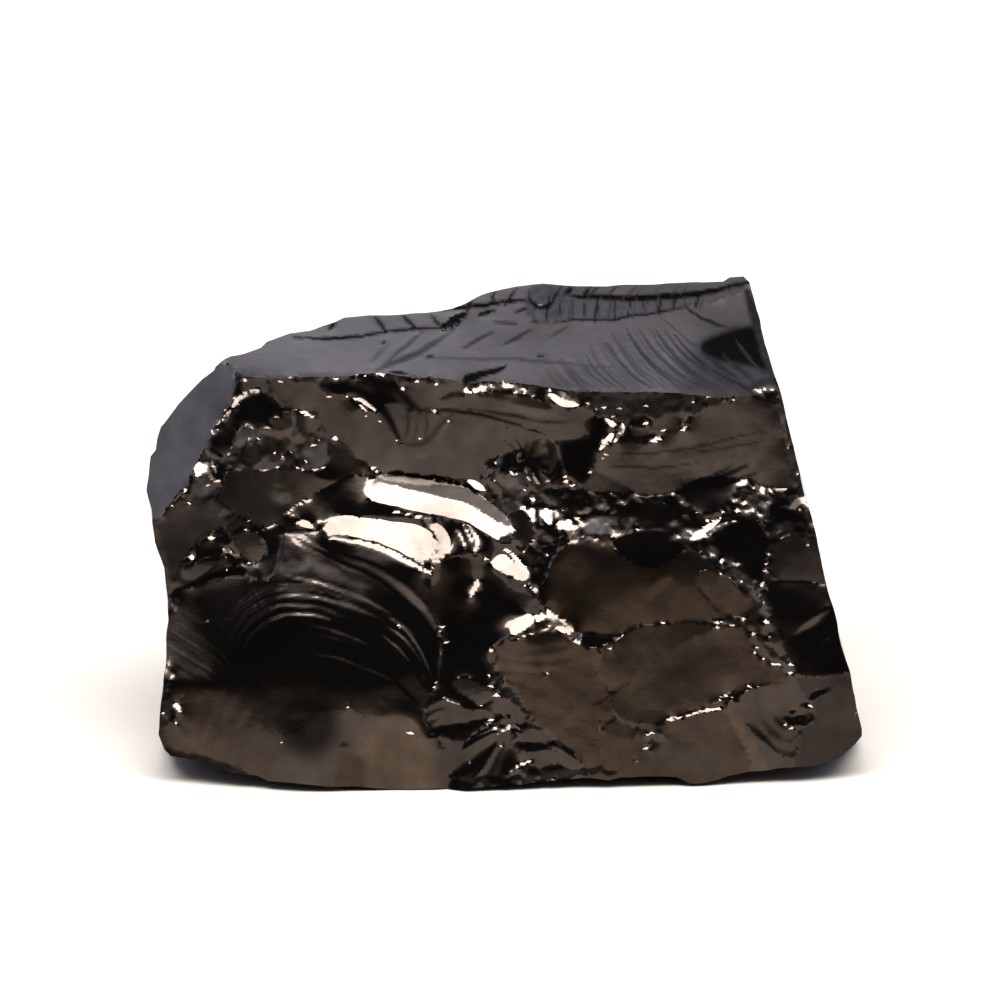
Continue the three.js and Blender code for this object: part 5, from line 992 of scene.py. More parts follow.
class Paint:
    """The slope, stiffness and finish, with painted shade and shine, wanted at a set of points, part over
    part.
    """

    FINISHES = ("satin", "powder", "dull", "warm")

    def __init__(self, u, v):
        self.u, self.v = u, v
        self.p, self.q = np.full(u.shape, float(PLAIN[0])), np.full(u.shape, float(PLAIN[1]))
        self.firm, self.bright = np.ones(u.shape), np.zeros(u.shape)
        self.finish = {name: np.zeros(u.shape) for name in self.FINISHES}
        # How far the points may be moved to lie on an outline.
        self.move_u, self.move_v = np.zeros(u.shape), np.zeros(u.shape)
        # Where the points are taken to be for the outlines, so that these wander a little.
        push_u, push_v = wander_at(u, v, FACE_WANDER, 1.3, 0.5, 0.6)
        self.su, self.sv = u + push_u, v + push_v

    def lay(self, patch, reach):
        """Lays one part over what is painted, and moves points within reach onto its outline."""
        closed = "outline" in patch
        line = rounded(patch["outline"] if closed else patch["line"], closed)
        soft = patch.get("soft", 0 if closed else LINE_SOFT)
        near = np.flatnonzero(around(line, self.u, self.v, soft + patch.get("width", 0) + MARGIN))
        if not len(near):
            return
        u, v, su, sv = self.u[near], self.v[near], self.su[near], self.sv[near]
        d, (nu, nv, along, tu, tv) = nearest(line, su, sv, closed)
        if not closed:
            # A line is widest in the middle and tapers to its ends.
            d = d - patch["width"] * (0.4 + 0.6 * np.sin(math.pi * along))
        cover = smooth(0.5 - d / soft) if soft else (d < 0).astype(float)

        def over(values, wanted):
            values[near] += cover * (wanted - values[near])

        if "fall" in patch:
            p, q = self.slope(patch, u, v)
            over(self.p, p)
            over(self.q, q)
            for name, values in self.finish.items():
                over(values, patch.get(name, 0))
            over(self.firm, patch.get("firm", 1))
            # A bright slope is held closely, a dark one loosely.
            bright = smooth((0.62 - np.abs(q - FLASH) * 3.2) / 0.25) * (np.abs(p) < 0.6)
            dark = smooth((0.2 - np.abs(q - BLACK)) / 0.08)
            over(self.bright, CLOSE_HOLD * bright - LOOSE_HOLD * dark)
            hard = closed and not soft
            if hard and not patch.get("joined"):
                self.firm[near] *= 1 - 0.95 * np.exp(-(d / SEAM) ** 2)
            hidden = (cover > 0.5) & (d < -reach)
            self.move_u[near[hidden]] = 0
            self.move_v[near[hidden]] = 0
            if hard:
                close = np.abs(d) < reach
                self.move_u[near[close]] = (nu - su)[close]
                self.move_v[near[close]] = (nv - sv)[close]
        # Painted shade: the surface is made duller here, so it reflects less and looks darker.
        if "shade" in patch:
            over(self.finish["dull"], np.maximum(self.finish["dull"][near], patch["shade"]))
        if "lift" in patch:
            self.tilt(near, -cover * patch["lift"] * tv, cover * patch["lift"] * tu)
        if "grit" in patch:
            size, tilt = patch["grit"]
            a, b = facets(su, sv, size)
            self.tilt(near, cover * tilt * a, cover * tilt * b)
        if "rays" in patch:
            cu, cv, spacing, tilt = patch["rays"]
            angle, r = np.arctan2(v - cv, u - cu), np.hypot(u - cu, v - cv)
            size = tilt * noise(angle / spacing, r * 0.25, 1.0, 17)
            self.tilt(near, -cover * size * np.sin(angle), cover * size * np.cos(angle))
        if "arcs" in patch:
            cu, cv, spacing, tilt = patch["arcs"]
            angle, r = np.arctan2(v - cv, u - cu), np.hypot(u - cu, v - cv)
            size = tilt * np.sin(2 * math.pi * r / spacing + 2 * noise(u, v, 2.5, 19))
            self.tilt(near, cover * size * np.cos(angle), cover * size * np.sin(angle))

    def tilt(self, near, p, q):
        """Adds to the slope at those points."""
        self.p[near] += p
        self.q[near] += q

    @staticmethod
    def slope(patch, u, v):
        """The slope of one part along u and v."""
        u0, v0 = patch.get("at", (0, 0))
        left, right, below, above = patch.get("bend", (0, 0, 0, 0))
        twist = patch.get("twist", 0)
        du, dv = u - u0, v - v0
        return (patch["fall"][0] + np.where(du < 0, left, right) * du + twist * dv,
                patch["fall"][1] + np.where(dv < 0, below, above) * dv + twist * du)


def painted(parts, u, v, reach=0.0):
    """All the parts laid over each other at these points, and a faint unevenness."""
    paint = Paint(u.ravel(), v.ravel())
    for patch in parts:
        paint.lay(patch, reach)
    coarse, fine = (paint.su, paint.sv, 2.4), (paint.su, paint.sv, 0.8)
    paint.p += 0.05 * noise(*coarse, 31) + 0.03 * noise(*fine, 32)
    paint.q += 0.05 * noise(*coarse, 33) + 0.03 * noise(*fine, 34)
    paint.firm *= 1 + paint.bright
    return paint


def sheet(parts, u, v, guide, tie, step):
    """Heights of the surface that has the painted slopes and is tied to the guide heights."""
    rows, columns = u.shape
    # Each point is linked to its neighbours beside, above and across it. A link wants a rise.
    links = []
    for down, right in ((0, 1), (1, 0), (1, 1), (1, -1)):
        a = np.s_[:rows - down, max(0, -right):columns - max(0, right)]
        b = np.s_[down:, max(0, right):columns + min(0, right)]
        du, dv = u[b] - u[a], v[b] - v[a]
        paint = painted(parts, (u[a] + u[b]) / 2, (v[a] + v[b]) / 2)
        p, q, firm = (x.reshape(du.shape) for x in (paint.p, paint.q, paint.firm))
        links.append((a, b, -p * du - q * dv, firm * step ** 2 / (du ** 2 + dv ** 2)))

    def pull(h):
        out = tie * h
        for a, b, _, weight in links:
            force = weight * (h[b] - h[a])
            out[b] += force
            out[a] -= force
        return out

    wanted = tie * guide
    scale = tie.copy()
    for a, b, rise, weight in links:
        force = weight * rise
        wanted[b] += force
        wanted[a] -= force
        scale[a] += weight
        scale[b] += weight
    # Least squares, by conjugate gradients.
    h = guide.copy()
    error = wanted - pull(h)
    z = error / scale
    direction = z.copy()
    product = (error * z).sum()
    for _ in range(500):
        pulled = pull(direction)
        length = product / (direction * pulled).sum()
        h += length * direction
        error -= length * pulled
        z = error / scale
        following = (error * z).sum()
        if following < 1e-10:
            break
        direction = z + following / product * direction
        product = following
    return h, links


def guide_heights(u, v, points):
    """Smooth heights through the guide points."""
    total, weights = np.zeros(u.shape), np.full(u.shape, 1e-9)
    for u0, v0, height in points:
        weight = np.exp(-((u - u0) ** 2 + (v - v0) ** 2) / (2 * GUIDE_REACH ** 2))
        total += weight * height
        weights += weight
    return total / weights


def mesh_object(name, points, triangles):
    """An object with that mesh in the scene."""
    mesh = bpy.data.meshes.new(name)
    mesh.vertices.add(len(points))
    mesh.vertices.foreach_set("co", np.asarray(points, np.float32).ravel())
    mesh.loops.add(len(triangles) * 3)
    mesh.loops.foreach_set("vertex_index", np.asarray(triangles, np.int32).ravel())
    mesh.polygons.add(len(triangles))
    mesh.polygons.foreach_set("loop_start", np.arange(0, len(triangles) * 3, 3, dtype=np.int32))
    mesh.update(calc_edges=True)
    mesh.validate()
    obj = bpy.data.objects.new(name, mesh)
    bpy.context.scene.collection.objects.link(obj)
    return obj


def closed_block(name, u, v, h, floor, axes, offset, first_diagonal):
    """A closed block under a grid of heights."""
    low = np.full(u.shape, float(floor))
    frame_axes = np.array([list(x) for x in axes])
    upper = np.stack([u, v, h], -1).reshape(-1, 3) @ frame_axes + np.array(offset)
    lower = np.stack([u, v, low], -1).reshape(-1, 3) @ frame_axes + np.array(offset)
    ids = np.arange(u.size).reshape(u.shape)
    p, q, r, s = (x.ravel() for x in (ids[:-1, :-1], ids[:-1, 1:], ids[1:, 1:], ids[1:, :-1]))
    pick = first_diagonal.ravel()[:, None]
    first = np.where(pick, np.stack([p, q, r], 1), np.stack([p, q, s], 1))
    second = np.where(pick, np.stack([p, r, s], 1), np.stack([q, r, s], 1))
    n = u.size
    under = np.concatenate([np.stack([p, r, q], 1), np.stack([p, s, r], 1)]) + n
    border = np.concatenate([ids[0, :-1], ids[:-1, -1], ids[-1, :0:-1], ids[:0:-1, 0]])
    following = np.roll(border, -1)
    walls = np.concatenate([np.stack([border, border + n, following + n], 1),
                            np.stack([border, following + n, following], 1)])
    triangles = np.concatenate([first, second, under, walls])
    if np.dot(np.cross(axes[0], axes[1]), axes[2]) < 0:
        triangles = triangles[:, ::-1]
    return mesh_object(name, np.concatenate([upper, lower]), triangles)


def face_parts():
    """The painted parts of the face and top, with the crushed bands and bright facets over them."""
    crushed = [part("crushed", line=line, width=width, soft=width, powder=0.15, fall=(0, -0.02),
                    grit=(size, 0.9 * tilt)) for width, size, tilt, line in CRUSHED]
    corners = (0, 1.3, 2.4, 3.7, 5.1)  # angles of the corners of a bright facet
    glints = [part("glint", fall=(0, FLASH), outline=[
        (u + 1.3 * r * math.cos(a), v + 1.3 * r * math.sin(a)) for a in corners]) for u, v, r in GLINTS]
    flutes = [part("rim flute", fall=(0, FLASH), firm=3, outline=[
        (u - 1.4 * r, low), (u - 1.4 * r, high), (u + 1.4 * r, high), (u + 1.4 * r, low)])
        for u, low, high, r in RIM_FLUTES]
    # Tears get painted shade, darker the less they slope.
    tears = [part("tear", line=line, width=1.2 * width, fall=(0.02, 1 + 0.5 * fall),
                  dull=1 - 0.5 * fall, firm=0.3) for width, fall, line in TEARS]
    return FACE + hackles() + ripples() + TOP + feathers() + tears + crushed + flutes + glints


def hackles():
    """Fine bright lines fanning across the left of the dome."""
    lines = []
    for i in range(HACKLES):
        t = i / (HACKLES - 1)
        u, v = -24.3 - 1.5 * min(1.0, 1.7 * t), 14.5 - 5.3 * t
        run = 3.4 - 0.6 * t + 0.7 * math.sin(2.7 * i)
        lines.append(part("hackle", width=0.085, soft=0.08, lift=0.07 + 0.04 * math.sin(3.9 * i), line=[
            (u, v), (u + 0.5 * run, v - (0.36 - 0.06 * t) * run),
            (u + run, v - (0.74 - 0.16 * t) * run)]))
    return lines


def ripples():
    """Faint arcs over the dark upper left of the dome, one inside another."""
    outermost = [(-22.6, 9.6), (-22.3, 11.4), (-21.5, 13), (-20.2, 14.5), (-18.6, 15.5), (-16.6, 15.9),
                 (-14.3, 15.6), (-12.6, 15.1)]
    u0, v0 = -14.5, 7  # the point that they close in on
    lines = []
    for i in range(RIPPLES):
        size = 1 - 0.28 * (i / (RIPPLES - 1)) + 0.012 * math.sin(2.9 * i)
        lines.append(part("ripple", width=0.1, soft=0.1, lift=0.28 + 0.12 * math.sin(2.3 * i),
                          line=[(u0 + size * (u - u0), v0 + size * (v - v0)) for u, v in outermost]))
    return lines


def feathers():
    """Fine lines of the top, darkened with painted shade: from its front edge, under its rear ledge and
    behind that.
    """
    front = 30.8
    lines = []
    for i in range(FEATHERS):
        t = i / (FEATHERS - 1)
        foot = 4.6 + 14.2 * t + 0.12 * math.sin(2.3 * i)
        back = 32.5 + 2.6 * smooth(1.6 * t) + 0.5 * math.sin(1.7 * i)
        slant, rise = 1.1 + 3.4 * t, back - front
        lines.append(part("feather", width=0.085 + 0.03 * math.sin(3.1 * i), fall=(0.1, 2.1),
                          dull=0.4 + 0.35 * t + 0.15 * math.sin(5.3 * i), firm=0.2, soft=0.18, line=[
                              (foot - 1.25 * slant, back), (foot - 0.95 * slant, front + 0.6 * rise),
                              (foot - 0.5 * slant, front + 0.25 * rise), (foot, front)]))
    for i in range(FLUTES):
        u = 2.4 + 13.4 * i / FLUTES + 0.16 * math.sin(2.9 * i)
        foot = 36 + 0.16 * max(0, u - 8)
        lines.append(part("flute", width=0.09 + 0.04 * math.sin(4.3 * i), fall=(0.1, 2.1),
                          dull=0.7 + 0.25 * math.sin(3.7 * i), firm=0.2,
                          line=[(u - 0.1, foot), (u, 37), (u + 0.15, 38)]))
    for i in range(REAR_FEATHERS):
        u = 4.6 + 1.15 * i + 0.3 * math.sin(2.1 * i)
        lines.append(part("rear feather", width=0.13 - 0.008 * i, fall=(0.1, 2.1), dull=0.8 - 0.05 * i,
                          firm=0.2, line=[(u, 38.1), (u + 0.25, 38.4), (u + 0.8, 38.9)]))
    return lines


def spaced(start, fine_start, fine_end, end, step, coarse):
    """Grid lines: fine between fine_start and fine_end, coarse beyond."""
    fine = np.arange(fine_start, fine_end + step / 2, step)
    before = np.arange(start, fine_start - coarse / 3, coarse)
    after = np.arange(end, fine_end + coarse / 3, -coarse)[::-1]
    return np.concatenate([before, fine, after])


def face_block():
    """The broken face and the flat top behind it, as one sheet over a closed block."""
    columns = spaced(-30, -27.8, 27.8, 30, FACE_STEP, 1)
    rows = spaced(-3, 0, 39.6, 44, FACE_STEP, 1.5)
    parts = face_parts()
    u, v = np.meshgrid(columns, rows)
    limit = 0.5 * FACE_STEP
    paint = painted(parts, u, v, FACE_STEP * 0.499)
    inner = np.zeros(u.shape, bool)
    inner[1:-1, 1:-1] = True
    u = u + np.where(inner, np.clip(paint.move_u.reshape(u.shape), -limit, limit), 0)
    v = v + np.where(inner, np.clip(paint.move_v.reshape(u.shape), -limit, limit), 0)
    # Behind the front top edge the surface is the flat top.
    over = nearest(TOP[0]["outline"], u.ravel(), v.ravel(), True)[0].reshape(u.shape) < 0
    level = guide_heights(u, v, TOP_GUIDE) - (v - FACE_FOOT) * math.cos(FACE_LEAN)
    guide = np.where(over, level / math.sin(FACE_LEAN), guide_heights(u, v, GUIDE))
    rear = smooth(v - np.clip(36.4 + 0.16 * (u + 14), 35.6, 38.4))
    tie = np.where(over, TOP_TIE + REAR_TIE * rear, np.full(u.shape, FACE_TIE))
    h, links = sheet(parts, u, v, guide, tie, FACE_STEP)
    h = h + face_texture(u, v)
    # Each square is split along the diagonal that keeps better to the painted slope.
    stray = [np.abs(h[b] - h[a] - rise) for a, b, rise, _ in links[2:]]
    return closed_block("face", u, v, h, -DEEP, FACE_AXES, FACE_ORIGIN, stray[0] <= stray[1])


def face_texture(u, v):
    """Faint unevenness of the glassy breaks."""
    return 0.02 * noise(u, v, 2.6, 31) + 0.006 * noise(u, v, 0.9, 32)


def side_texture(u, v):
    """Unevenness of the hidden sides."""
    return 0.08 * noise(u, v, 4, 51) + 0.04 * noise(u, v, 1.7, 52)


def scar_height(scar, u, v, wander):
    """Height of one scar surface, rising as a wall outside its outline, and far up beyond."""
    outline = rounded(scar["outline"])
    near = around(outline, u, v, SCAR_REACH)
    height = np.full(u.shape, FAR)
    if not near.any():
        return height
    u, v, push_u, push_v = u[near], v[near], wander[0][near], wander[1][near]
    u0, v0, top = scar["at"]
    left, right, below, above = scar.get("bend", (0, 0, 0, 0))
    du, dv = u - u0, v - v0
    h = top - scar["fall"][0] * du - scar["fall"][1] * dv
    h -= 0.5 * np.where(du < 0, left, right) * du ** 2
    h -= 0.5 * np.where(dv < 0, below, above) * dv ** 2
    away = np.maximum(nearest(outline, u + push_u, v + push_v, True)[0], 0)
    height[near] = h + scar.get("wall", WALL_SLOPE) * away
    return height


def relief(scars, u, v, amount):
    """Lowest and second lowest scar at each point."""
    wander = wander_at(u, v, amount, 1.6, 0.7, 0.5)
    low, low2 = np.full(u.shape, FAR), np.full(u.shape, FAR)
    first, second = np.zeros(u.shape, int), np.zeros(u.shape, int)
    for k, scar in enumerate(scars):
        h = scar_height(scar, u, v, wander)
        below = h < low
        between = ~below & (h < low2)
        low2 = np.where(below, low, np.where(between, h, low2))
        second = np.where(below, first, np.where(between, k, second))
        low = np.where(below, h, low)
        first = np.where(below, k, first)
    return low, low2, first, second


def snapped(scars, u, v, reach, amount):
    """Moves points onto the ridge or crease between two scars where one passes close by."""
    low, low2, first, second = relief(scars, u, v, amount)
    d = 0.03  # half of the distance over which the slope is measured
    gap = low2 - low
    close = np.flatnonzero(gap < reach * 4)
    uc, vc = u[close], v[close]

    def gap_at(a, b):
        wander = wander_at(a, b, amount, 1.6, 0.7, 0.5)
        heights = np.zeros(a.shape), np.zeros(a.shape)
        for k, scar in enumerate(scars):
            for which, h in zip((first, second), heights):
                here = np.flatnonzero(which[close] == k)
                if len(here):
                    h[here] = scar_height(scar, a[here], b[here], [w[here] for w in wander])
        return heights[1] - heights[0]

    gu = (gap_at(uc + d, vc) - gap_at(uc - d, vc)) / (2 * d)
    gv = (gap_at(uc, vc + d) - gap_at(uc, vc - d)) / (2 * d)
    steep = gu ** 2 + gv ** 2
    g = gap[close]
    ok = (steep > 1e-4) & (g / np.sqrt(np.maximum(steep, 1e-9)) < reach)
    u, v = u.copy(), v.copy()
    u[close[ok]] -= (g * gu / np.maximum(steep, 1e-9))[ok]
    v[close[ok]] -= (g * gv / np.maximum(steep, 1e-9))[ok]
    return u, v


def relief_block(name, scars, columns, rows, floor, axes, offset=(0, 0, 0), amount=0.0, step=1.0,
                 texture=None):
    """A closed block with one face in relief; axes are the face's own u, v and outward directions."""
    u, v = np.meshgrid(columns, rows)
    a, b = (x.reshape(u.shape) for x in snapped(scars, u.ravel(), v.ravel(), step * 0.45, amount))
    for edge in (np.s_[0, :], np.s_[-1, :], np.s_[:, 0], np.s_[:, -1]):
        a[edge], b[edge] = u[edge], v[edge]

    def height(us, vs):
        return relief(scars, us.ravel(), vs.ravel(), amount)[0].reshape(us.shape)

    # Each square is split along the diagonal that passes nearer to the surface in the middle.
    h = height(a, b)
    middle = height((a[:-1, :-1] + a[1:, 1:]) / 2, (b[:-1, :-1] + b[1:, 1:]) / 2)
    straight = np.abs((h[:-1, :-1] + h[1:, 1:]) / 2 - middle)
    across = np.abs((h[:-1, 1:] + h[1:, :-1]) / 2 - middle)
    if texture:
        h = h + texture(a, b)
    return closed_block(name, a, b, h, floor, axes, offset, straight <= across)


def profile_block():
    """The outline of the stone swept through it, with a little unevenness on its walls."""
    corners = np.array(PROFILE, float)
    closed = np.vstack([corners, corners[:1]])
    lengths = np.hypot(*np.diff(closed, axis=0).T)
    along = np.concatenate([[0], np.cumsum(lengths)])
    places = np.concatenate([np.linspace(s, e, max(1, round((e - s) / RING_STEP)), endpoint=False)
                             for s, e in zip(along[:-1], along[1:])])
    ring = np.stack([np.interp(places, along, closed[:, 0]), np.interp(places, along, closed[:, 1])], 1)
    tangent = np.roll(ring, -1, 0) - np.roll(ring, 1, 0)
    normal = np.stack([-tangent[:, 1], tangent[:, 0]], 1)
    normal /= np.hypot(*normal.T)[:, None]
    depths = np.concatenate([[-DEEP], np.arange(-16, 22, LAYER_STEP), [DEEP]])

    def placed(u, v, w):
        return u * X + v * FACE_UP + w * FACE_OUT + FACE_ORIGIN

    layers = []
    for w in depths:
        push = 0.1 * noise(places, places * 0 + w, 2.4, 21) + 0.05 * noise(places, places * 0 + w, 1.0, 22)
        flat = ring + normal * push[:, None]
        layers.append(placed(flat[:, :1], flat[:, 1:], w))
    middle_v = 18.0
    ends = [placed(0.0, middle_v, w) for w in (depths[0], depths[-1])]
    n = len(ring)
    last = (len(depths) - 1) * n
    front, back = len(depths) * n, len(depths) * n + 1
    triangles = []
    for k in range(len(depths) - 1):
        for i in range(n):
            j = (i + 1) % n
            p, q, r, s = k * n + i, k * n + j, (k + 1) * n + j, (k + 1) * n + i
            triangles += [(p, r, q), (p, s, r)]
    for i in range(n):
        j = (i + 1) % n
        triangles += [(front, i, j), (back, last + j, last + i)]
    return mesh_object("profile", np.vstack(layers + ends), np.array(triangles))


def upright_block(name, scars, start, end, floor, axes):
    """The block of an upright hidden side: columns from start to end, and rows up the whole stone."""
    foot, top = -4, 38
    return relief_block(name, scars, np.arange(start, end + 0.1, SIDE_STEP),
                        np.arange(foot, top + 0.1, SIDE_STEP), floor, axes,
                        amount=SIDE_WANDER, step=SIDE_STEP, texture=side_texture)


def side_block():
    """The right end. Its axes are given on those of the broken face."""
    out, across, middle = np.array([0.971, 0.237, -0.09]), np.array([0.088, 0, 0.971]), (25, 15.2, 2)
    out /= np.linalg.norm(out)
    across /= np.linalg.norm(across)
    to_world = np.array(FACE_AXES)
    span = np.arange(-32, 32.1, SIDE_STEP)
    return relief_block(
        "side", SIDE_SCARS, span, span, floor=-70,
        axes=(across @ to_world, np.cross(across, out) @ to_world, out @ to_world),
        offset=np.array(middle) @ to_world + FACE_ORIGIN, amount=SIDE_WANDER, step=SIDE_STEP,
        texture=side_texture)


def foot_block():
    """The block of the underside."""
    return relief_block("foot", FOOT_SCARS, np.arange(-32, 32.1, FOOT_STEP),
                        np.arange(-20, 20.1, FOOT_STEP), floor=-50, axes=(X, -Y, -Z))


def build_stone():
    """The mesh of the stone: its swept outline, cut by a block for each of its sides."""
    stone = profile_block()
    blocks = [
        face_block(),
        upright_block("back", BACK_SCARS, start=-31, end=31, floor=-30, axes=(X, Z, Y)),
        upright_block("end", END_SCARS, start=-24, end=36, floor=-60, axes=(END_ALONG, Z, END_OUT)),
        side_block(),
        foot_block(),
    ]
    for block in blocks:
        cut = stone.modifiers.new("cut", "BOOLEAN")
        cut.operation = "INTERSECT"
        cut.solver = "MANIFOLD"
        cut.object = block
    graph = bpy.context.evaluated_depsgraph_get()
    mesh = bpy.data.meshes.new_from_object(stone.evaluated_get(graph))
    for obj in [stone] + blocks:
        bpy.data.objects.remove(obj)
    return mesh


def place_stone(mesh):
    """Sets the mesh on the floor of the frame, centred on its solid. Returns its points before that in
    mm, and the shift."""
    points = np.empty(len(mesh.vertices) * 3, np.float32)
    mesh.vertices.foreach_get("co", points)
    points = points.reshape(-1, 3)
    low, high = points.min(0), points.max(0)
    shift = np.array([(cad_low[0] + cad_high[0]) / 2 / MM - (low[0] + high[0]) / 2,
                      (cad_low[1] + cad_high[1]) / 2 / MM - (low[1] + high[1]) / 2,
                      cad_low[2] / MM - low[2]])
    mesh.vertices.foreach_set("co", ((points + shift) * MM).astype(np.float32).ravel())
    mesh.update()
    return points, shift


def finish_stone(mesh, points):
    """Stores the painted finishes, painted shade and shine among them, on the mesh, at the points of the
    broken face and the top.
    """
    points = points.astype(float)
    finish = painted(face_parts(), points[:, 0], (points - FACE_ORIGIN) @ FACE_UP).finish
    normals = np.empty(len(points) * 3, np.float32)
    mesh.vertices.foreach_get("normal", normals)
    front = normals.reshape(-1, 3) @ FACE_OUT > FRONT
    for name, values in finish.items():
        layer = mesh.attributes.new(name, "FLOAT", "POINT")
        layer.data.foreach_set("value", np.where(front, values, 0).astype(np.float32))


def node(tree, kind, **values):
    """A new node, with its settings or the values of its inputs."""
    made = tree.nodes.new(kind)
    for key, value in values.items():
        if hasattr(made, key):
            setattr(made, key, value)
        else:
            made.inputs[key.replace("_", " ")].default_value = value
    return made


def combined(tree, operation, first, second):
    """The product or sum of two outputs."""
    made = node(tree, "ShaderNodeMath", operation=operation)
    tree.links.new(first, made.inputs[0])
    tree.links.new(second, made.inputs[1])
    return made.outputs["Value"]


def blend(tree, factor, first, second):
    """A colour that goes from first to second with the factor. Each is a colour or an output."""
    made = node(tree, "ShaderNodeMix", data_type="RGBA")
    for socket, value in (("A", first), ("B", second)):
        if isinstance(value, tuple):
            made.inputs[socket].default_value = value + (1,)
        else:
            tree.links.new(value, made.inputs[socket])
    tree.links.new(factor, made.inputs["Factor"])
    return made.outputs["Result"]


def spread(tree, value, low, high, to_low=0, to_high=1, eased=False):
    """The value's range from low to high, spread over another one."""
    made = node(tree, "ShaderNodeMapRange", From_Min=low, From_Max=high, To_Min=to_low, To_Max=to_high,
                interpolation_type="SMOOTHSTEP" if eased else "LINEAR")
    tree.links.new(value, made.inputs["Value"])
    return made.outputs["Result"]


def stone_material():
    """Black glass, with a satin, powdery or warm look where the finishes say so, and painted shade and
    shine in its IOR.
    """
    glass, ash_grey = (0.0009, 0.0008, 0.0008), (0.045, 0.044, 0.043)
    plain_tint, warm_tint = (1.0, 0.82, 0.72), (1.0, 0.7, 0.5)
    material = bpy.data.materials.new("glassy carbon")
    material.use_nodes = True
    tree = material.node_tree
    shader = tree.nodes["Principled BSDF"]
    where = node(tree, "ShaderNodeTexCoord")

    def texture(scale, detail):
        made = node(tree, "ShaderNodeTexNoise", Scale=scale, Detail=detail)
        tree.links.new(where.outputs["Object"], made.inputs["Vector"])
        return made.outputs["Fac"]

    def finish(name):
        return node(tree, "ShaderNodeAttribute", attribute_name=name).outputs["Fac"]

    def put(output, socket):
        tree.links.new(output, shader.inputs[socket])

    ash = combined(tree, "MULTIPLY", finish("powder"), spread(tree, texture(420.0, 4.0), 0.45, 0.65))
    put(blend(tree, ash, glass, ash_grey), "Base Color")
    # Satin breaks are cloudier, in soft patches a few millimetres across.
    cloud = combined(tree, "MULTIPLY", finish("satin"), spread(tree, texture(220.0, 3.0), 0.35, 0.65, 0.4))
    put(combined(tree, "ADD", spread(tree, cloud, 0, 1, 0.12, 0.32), spread(tree, ash, 0, 1, 0, 0.3)),
        "Roughness")
    put(combined(tree, "MULTIPLY", spread(tree, texture(170.0, 3.0), 0.3, 0.7, 0.32, 0.62),
                  spread(tree, texture(900.0, 3.0), 0.3, 0.7, 0.85, 1.12)), "Specular IOR Level")
    # Painted shade and shine: a lower IOR reflects less and looks darker, a higher one brighter.
    put(spread(tree, finish("dull"), -1, 1, 2.21, 1.03), "IOR")
    put(blend(tree, finish("warm"), plain_tint, warm_tint), "Specular Tint")
    bump = node(tree, "ShaderNodeBump", Strength=0.1, Distance=0.0001)
    tree.links.new(texture(2200.0, 3.0), bump.inputs["Height"])
    put(bump.outputs["Normal"], "Normal")
    return material


def build_floor():
    """A pale floor with painted shade: it turns greyer well in front of the stone."""
    grey, pale = (0.062, 0.048, 0.032), (0.31, 0.29, 0.268)
    grey_y, pale_y = -0.30, -0.07  # m
    bpy.ops.mesh.primitive_plane_add(size=12)
    made = bpy.context.object
    made.name = "floor"
    paper = bpy.data.materials.new("paper")
    paper.use_nodes = True
    tree = paper.node_tree
    shader = tree.nodes["Principled BSDF"]
    split = node(tree, "ShaderNodeSeparateXYZ")
    tree.links.new(node(tree, "ShaderNodeTexCoord").outputs["Object"], split.inputs["Vector"])
    # Painted shade: the floor is made darker away from the stone, in front, where the facets mirror it.
    shade = spread(tree, split.outputs["Y"], grey_y, pale_y, eased=True)
    tree.links.new(blend(tree, shade, grey, pale), shader.inputs["Base Color"])
    shader.inputs["Roughness"].default_value = 0.9
    made.data.materials.append(paper)
    return made


def add_key_light():
    """A broad light high in front of the stone."""
    distance, size, radiance = 1.2, (1.5, 0.5), 24
    key = bpy.data.lights.new("key", "AREA")
    key.shape = "RECTANGLE"
    key.size, key.size_y = size
    key.energy = radiance * math.pi * size[0] * size[1]
    key.color = (1.0, 0.98, 0.95)
    made = bpy.data.objects.new("key", key)
    made.location = [distance * x for x in KEY_DIRECTION]
    made.rotation_euler = (math.pi / 2 - KEY_HEIGHT, 0, 0)
    bpy.context.scene.collection.objects.link(made)


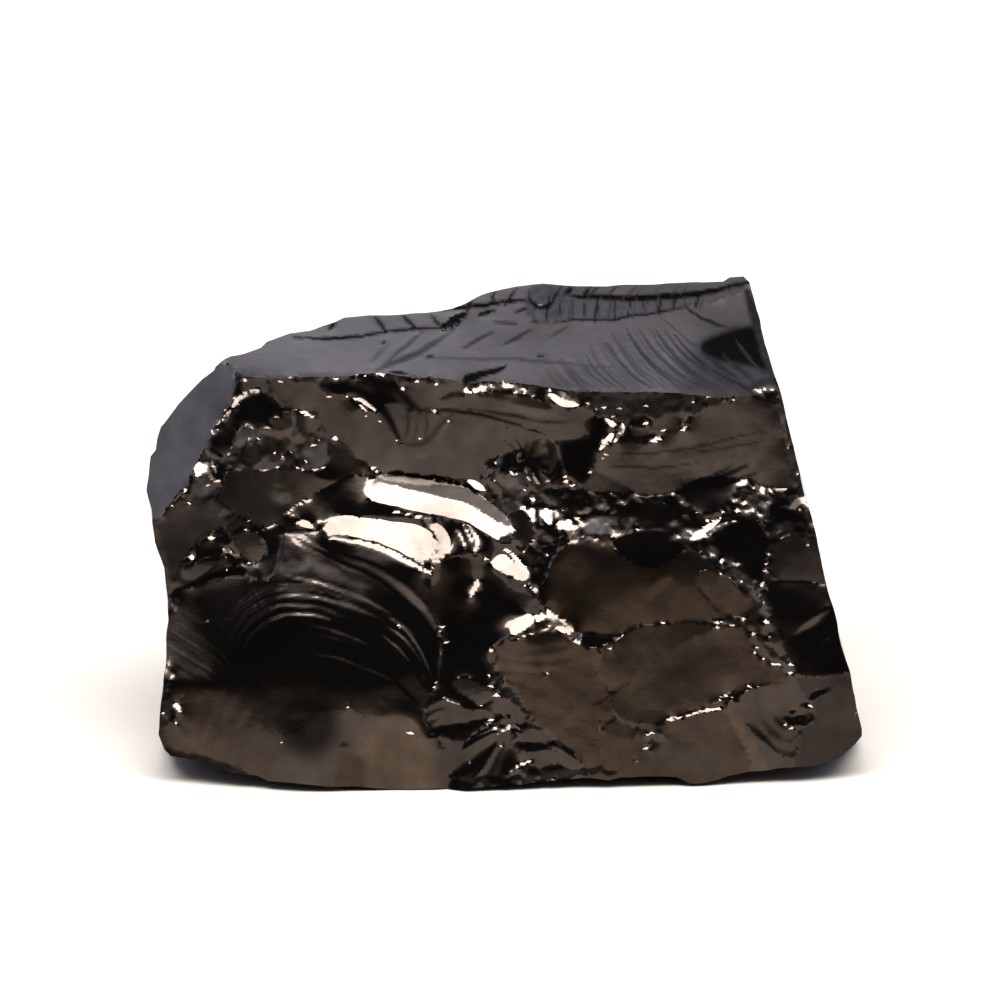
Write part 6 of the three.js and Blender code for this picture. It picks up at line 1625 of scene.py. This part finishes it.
def add_studio():
    """The studio round the stone: pale walls, a brighter ceiling, and the dark behind the camera."""
    sides, behind, overhead = (1.10, 1.20, 1.50), (0.98, 0.97, 1.12), (2.5, 2.45, 2.4)
    in_front, horizon, glow = (0.008, 0.008, 0.008), (0.38, 0.325, 0.26), (5.0, 4.7, 4.2)
    world = bpy.data.worlds.new("studio")
    world.use_nodes = True
    bpy.context.scene.world = world
    tree = world.node_tree
    where = node(tree, "ShaderNodeTexCoord").outputs["Generated"]
    split = node(tree, "ShaderNodeSeparateXYZ")
    tree.links.new(where, split.inputs["Vector"])

    def ramp(output, low, high):
        return spread(tree, output, low, high, eased=True)

    y, z = split.outputs["Y"], split.outputs["Z"]
    room = blend(tree, ramp(z, 0.75, 0.92), blend(tree, ramp(y, 0.2, 0.8), sides, behind), overhead)
    dark = combined(tree, "MULTIPLY", ramp(y, -0.15, -0.60), ramp(z, 0.90, 0.58))
    front = blend(tree, ramp(z, 0.24, -0.04), in_front, horizon)
    # A soft glow around the key light, wider than it is high.
    narrow = node(tree, "ShaderNodeVectorMath", operation="MULTIPLY")
    narrow.inputs[1].default_value = (0.5, 1, 1)
    tree.links.new(where, narrow.inputs[0])
    away = node(tree, "ShaderNodeVectorMath", operation="DISTANCE")
    away.inputs[1].default_value = KEY_DIRECTION
    tree.links.new(narrow.outputs["Vector"], away.inputs[0])
    nearby = ramp(away.outputs["Value"], 0.66, 0.18)
    front = blend(tree, combined(tree, "MULTIPLY", nearby, nearby), front, glow)
    tree.links.new(blend(tree, dark, room, front), tree.nodes["Background"].inputs["Color"])


def add_camera(shift):
    """A long lens, looking straight down on the broken face."""
    frame_width, distance = 76.92 * MM, 1.5
    aim = (np.array([-0.31, -7.2, 21.2]) + shift) * MM
    camera = bpy.data.cameras.new("camera")
    camera.sensor_width = 36
    camera.lens = camera.sensor_width * distance / frame_width
    camera.clip_start, camera.clip_end = 0.05, 30
    made = bpy.data.objects.new("camera", camera)
    made.location = Vector(aim + distance * FACE_OUT)
    made.rotation_euler = (math.pi / 2 - FACE_LEAN, 0, 0)
    bpy.context.scene.collection.objects.link(made)
    bpy.context.scene.camera = made
    bpy.context.scene.view_settings.view_transform = "Standard"


mesh = build_stone()
points, shift = place_stone(mesh)
mesh.polygons.foreach_set("use_smooth", np.ones(len(mesh.polygons), bool))
mesh.set_sharp_from_angle(angle=SHARP)
finish_stone(mesh, points)
stone = bpy.data.objects.new("stone", mesh)
bpy.context.scene.collection.objects.link(stone)
stone.data.materials.clear()
stone.data.materials.append(stone_material())
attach(stone, "root")
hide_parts("shungite_block")

floor = build_floor()
add_key_light()
add_studio()
add_camera(shift)
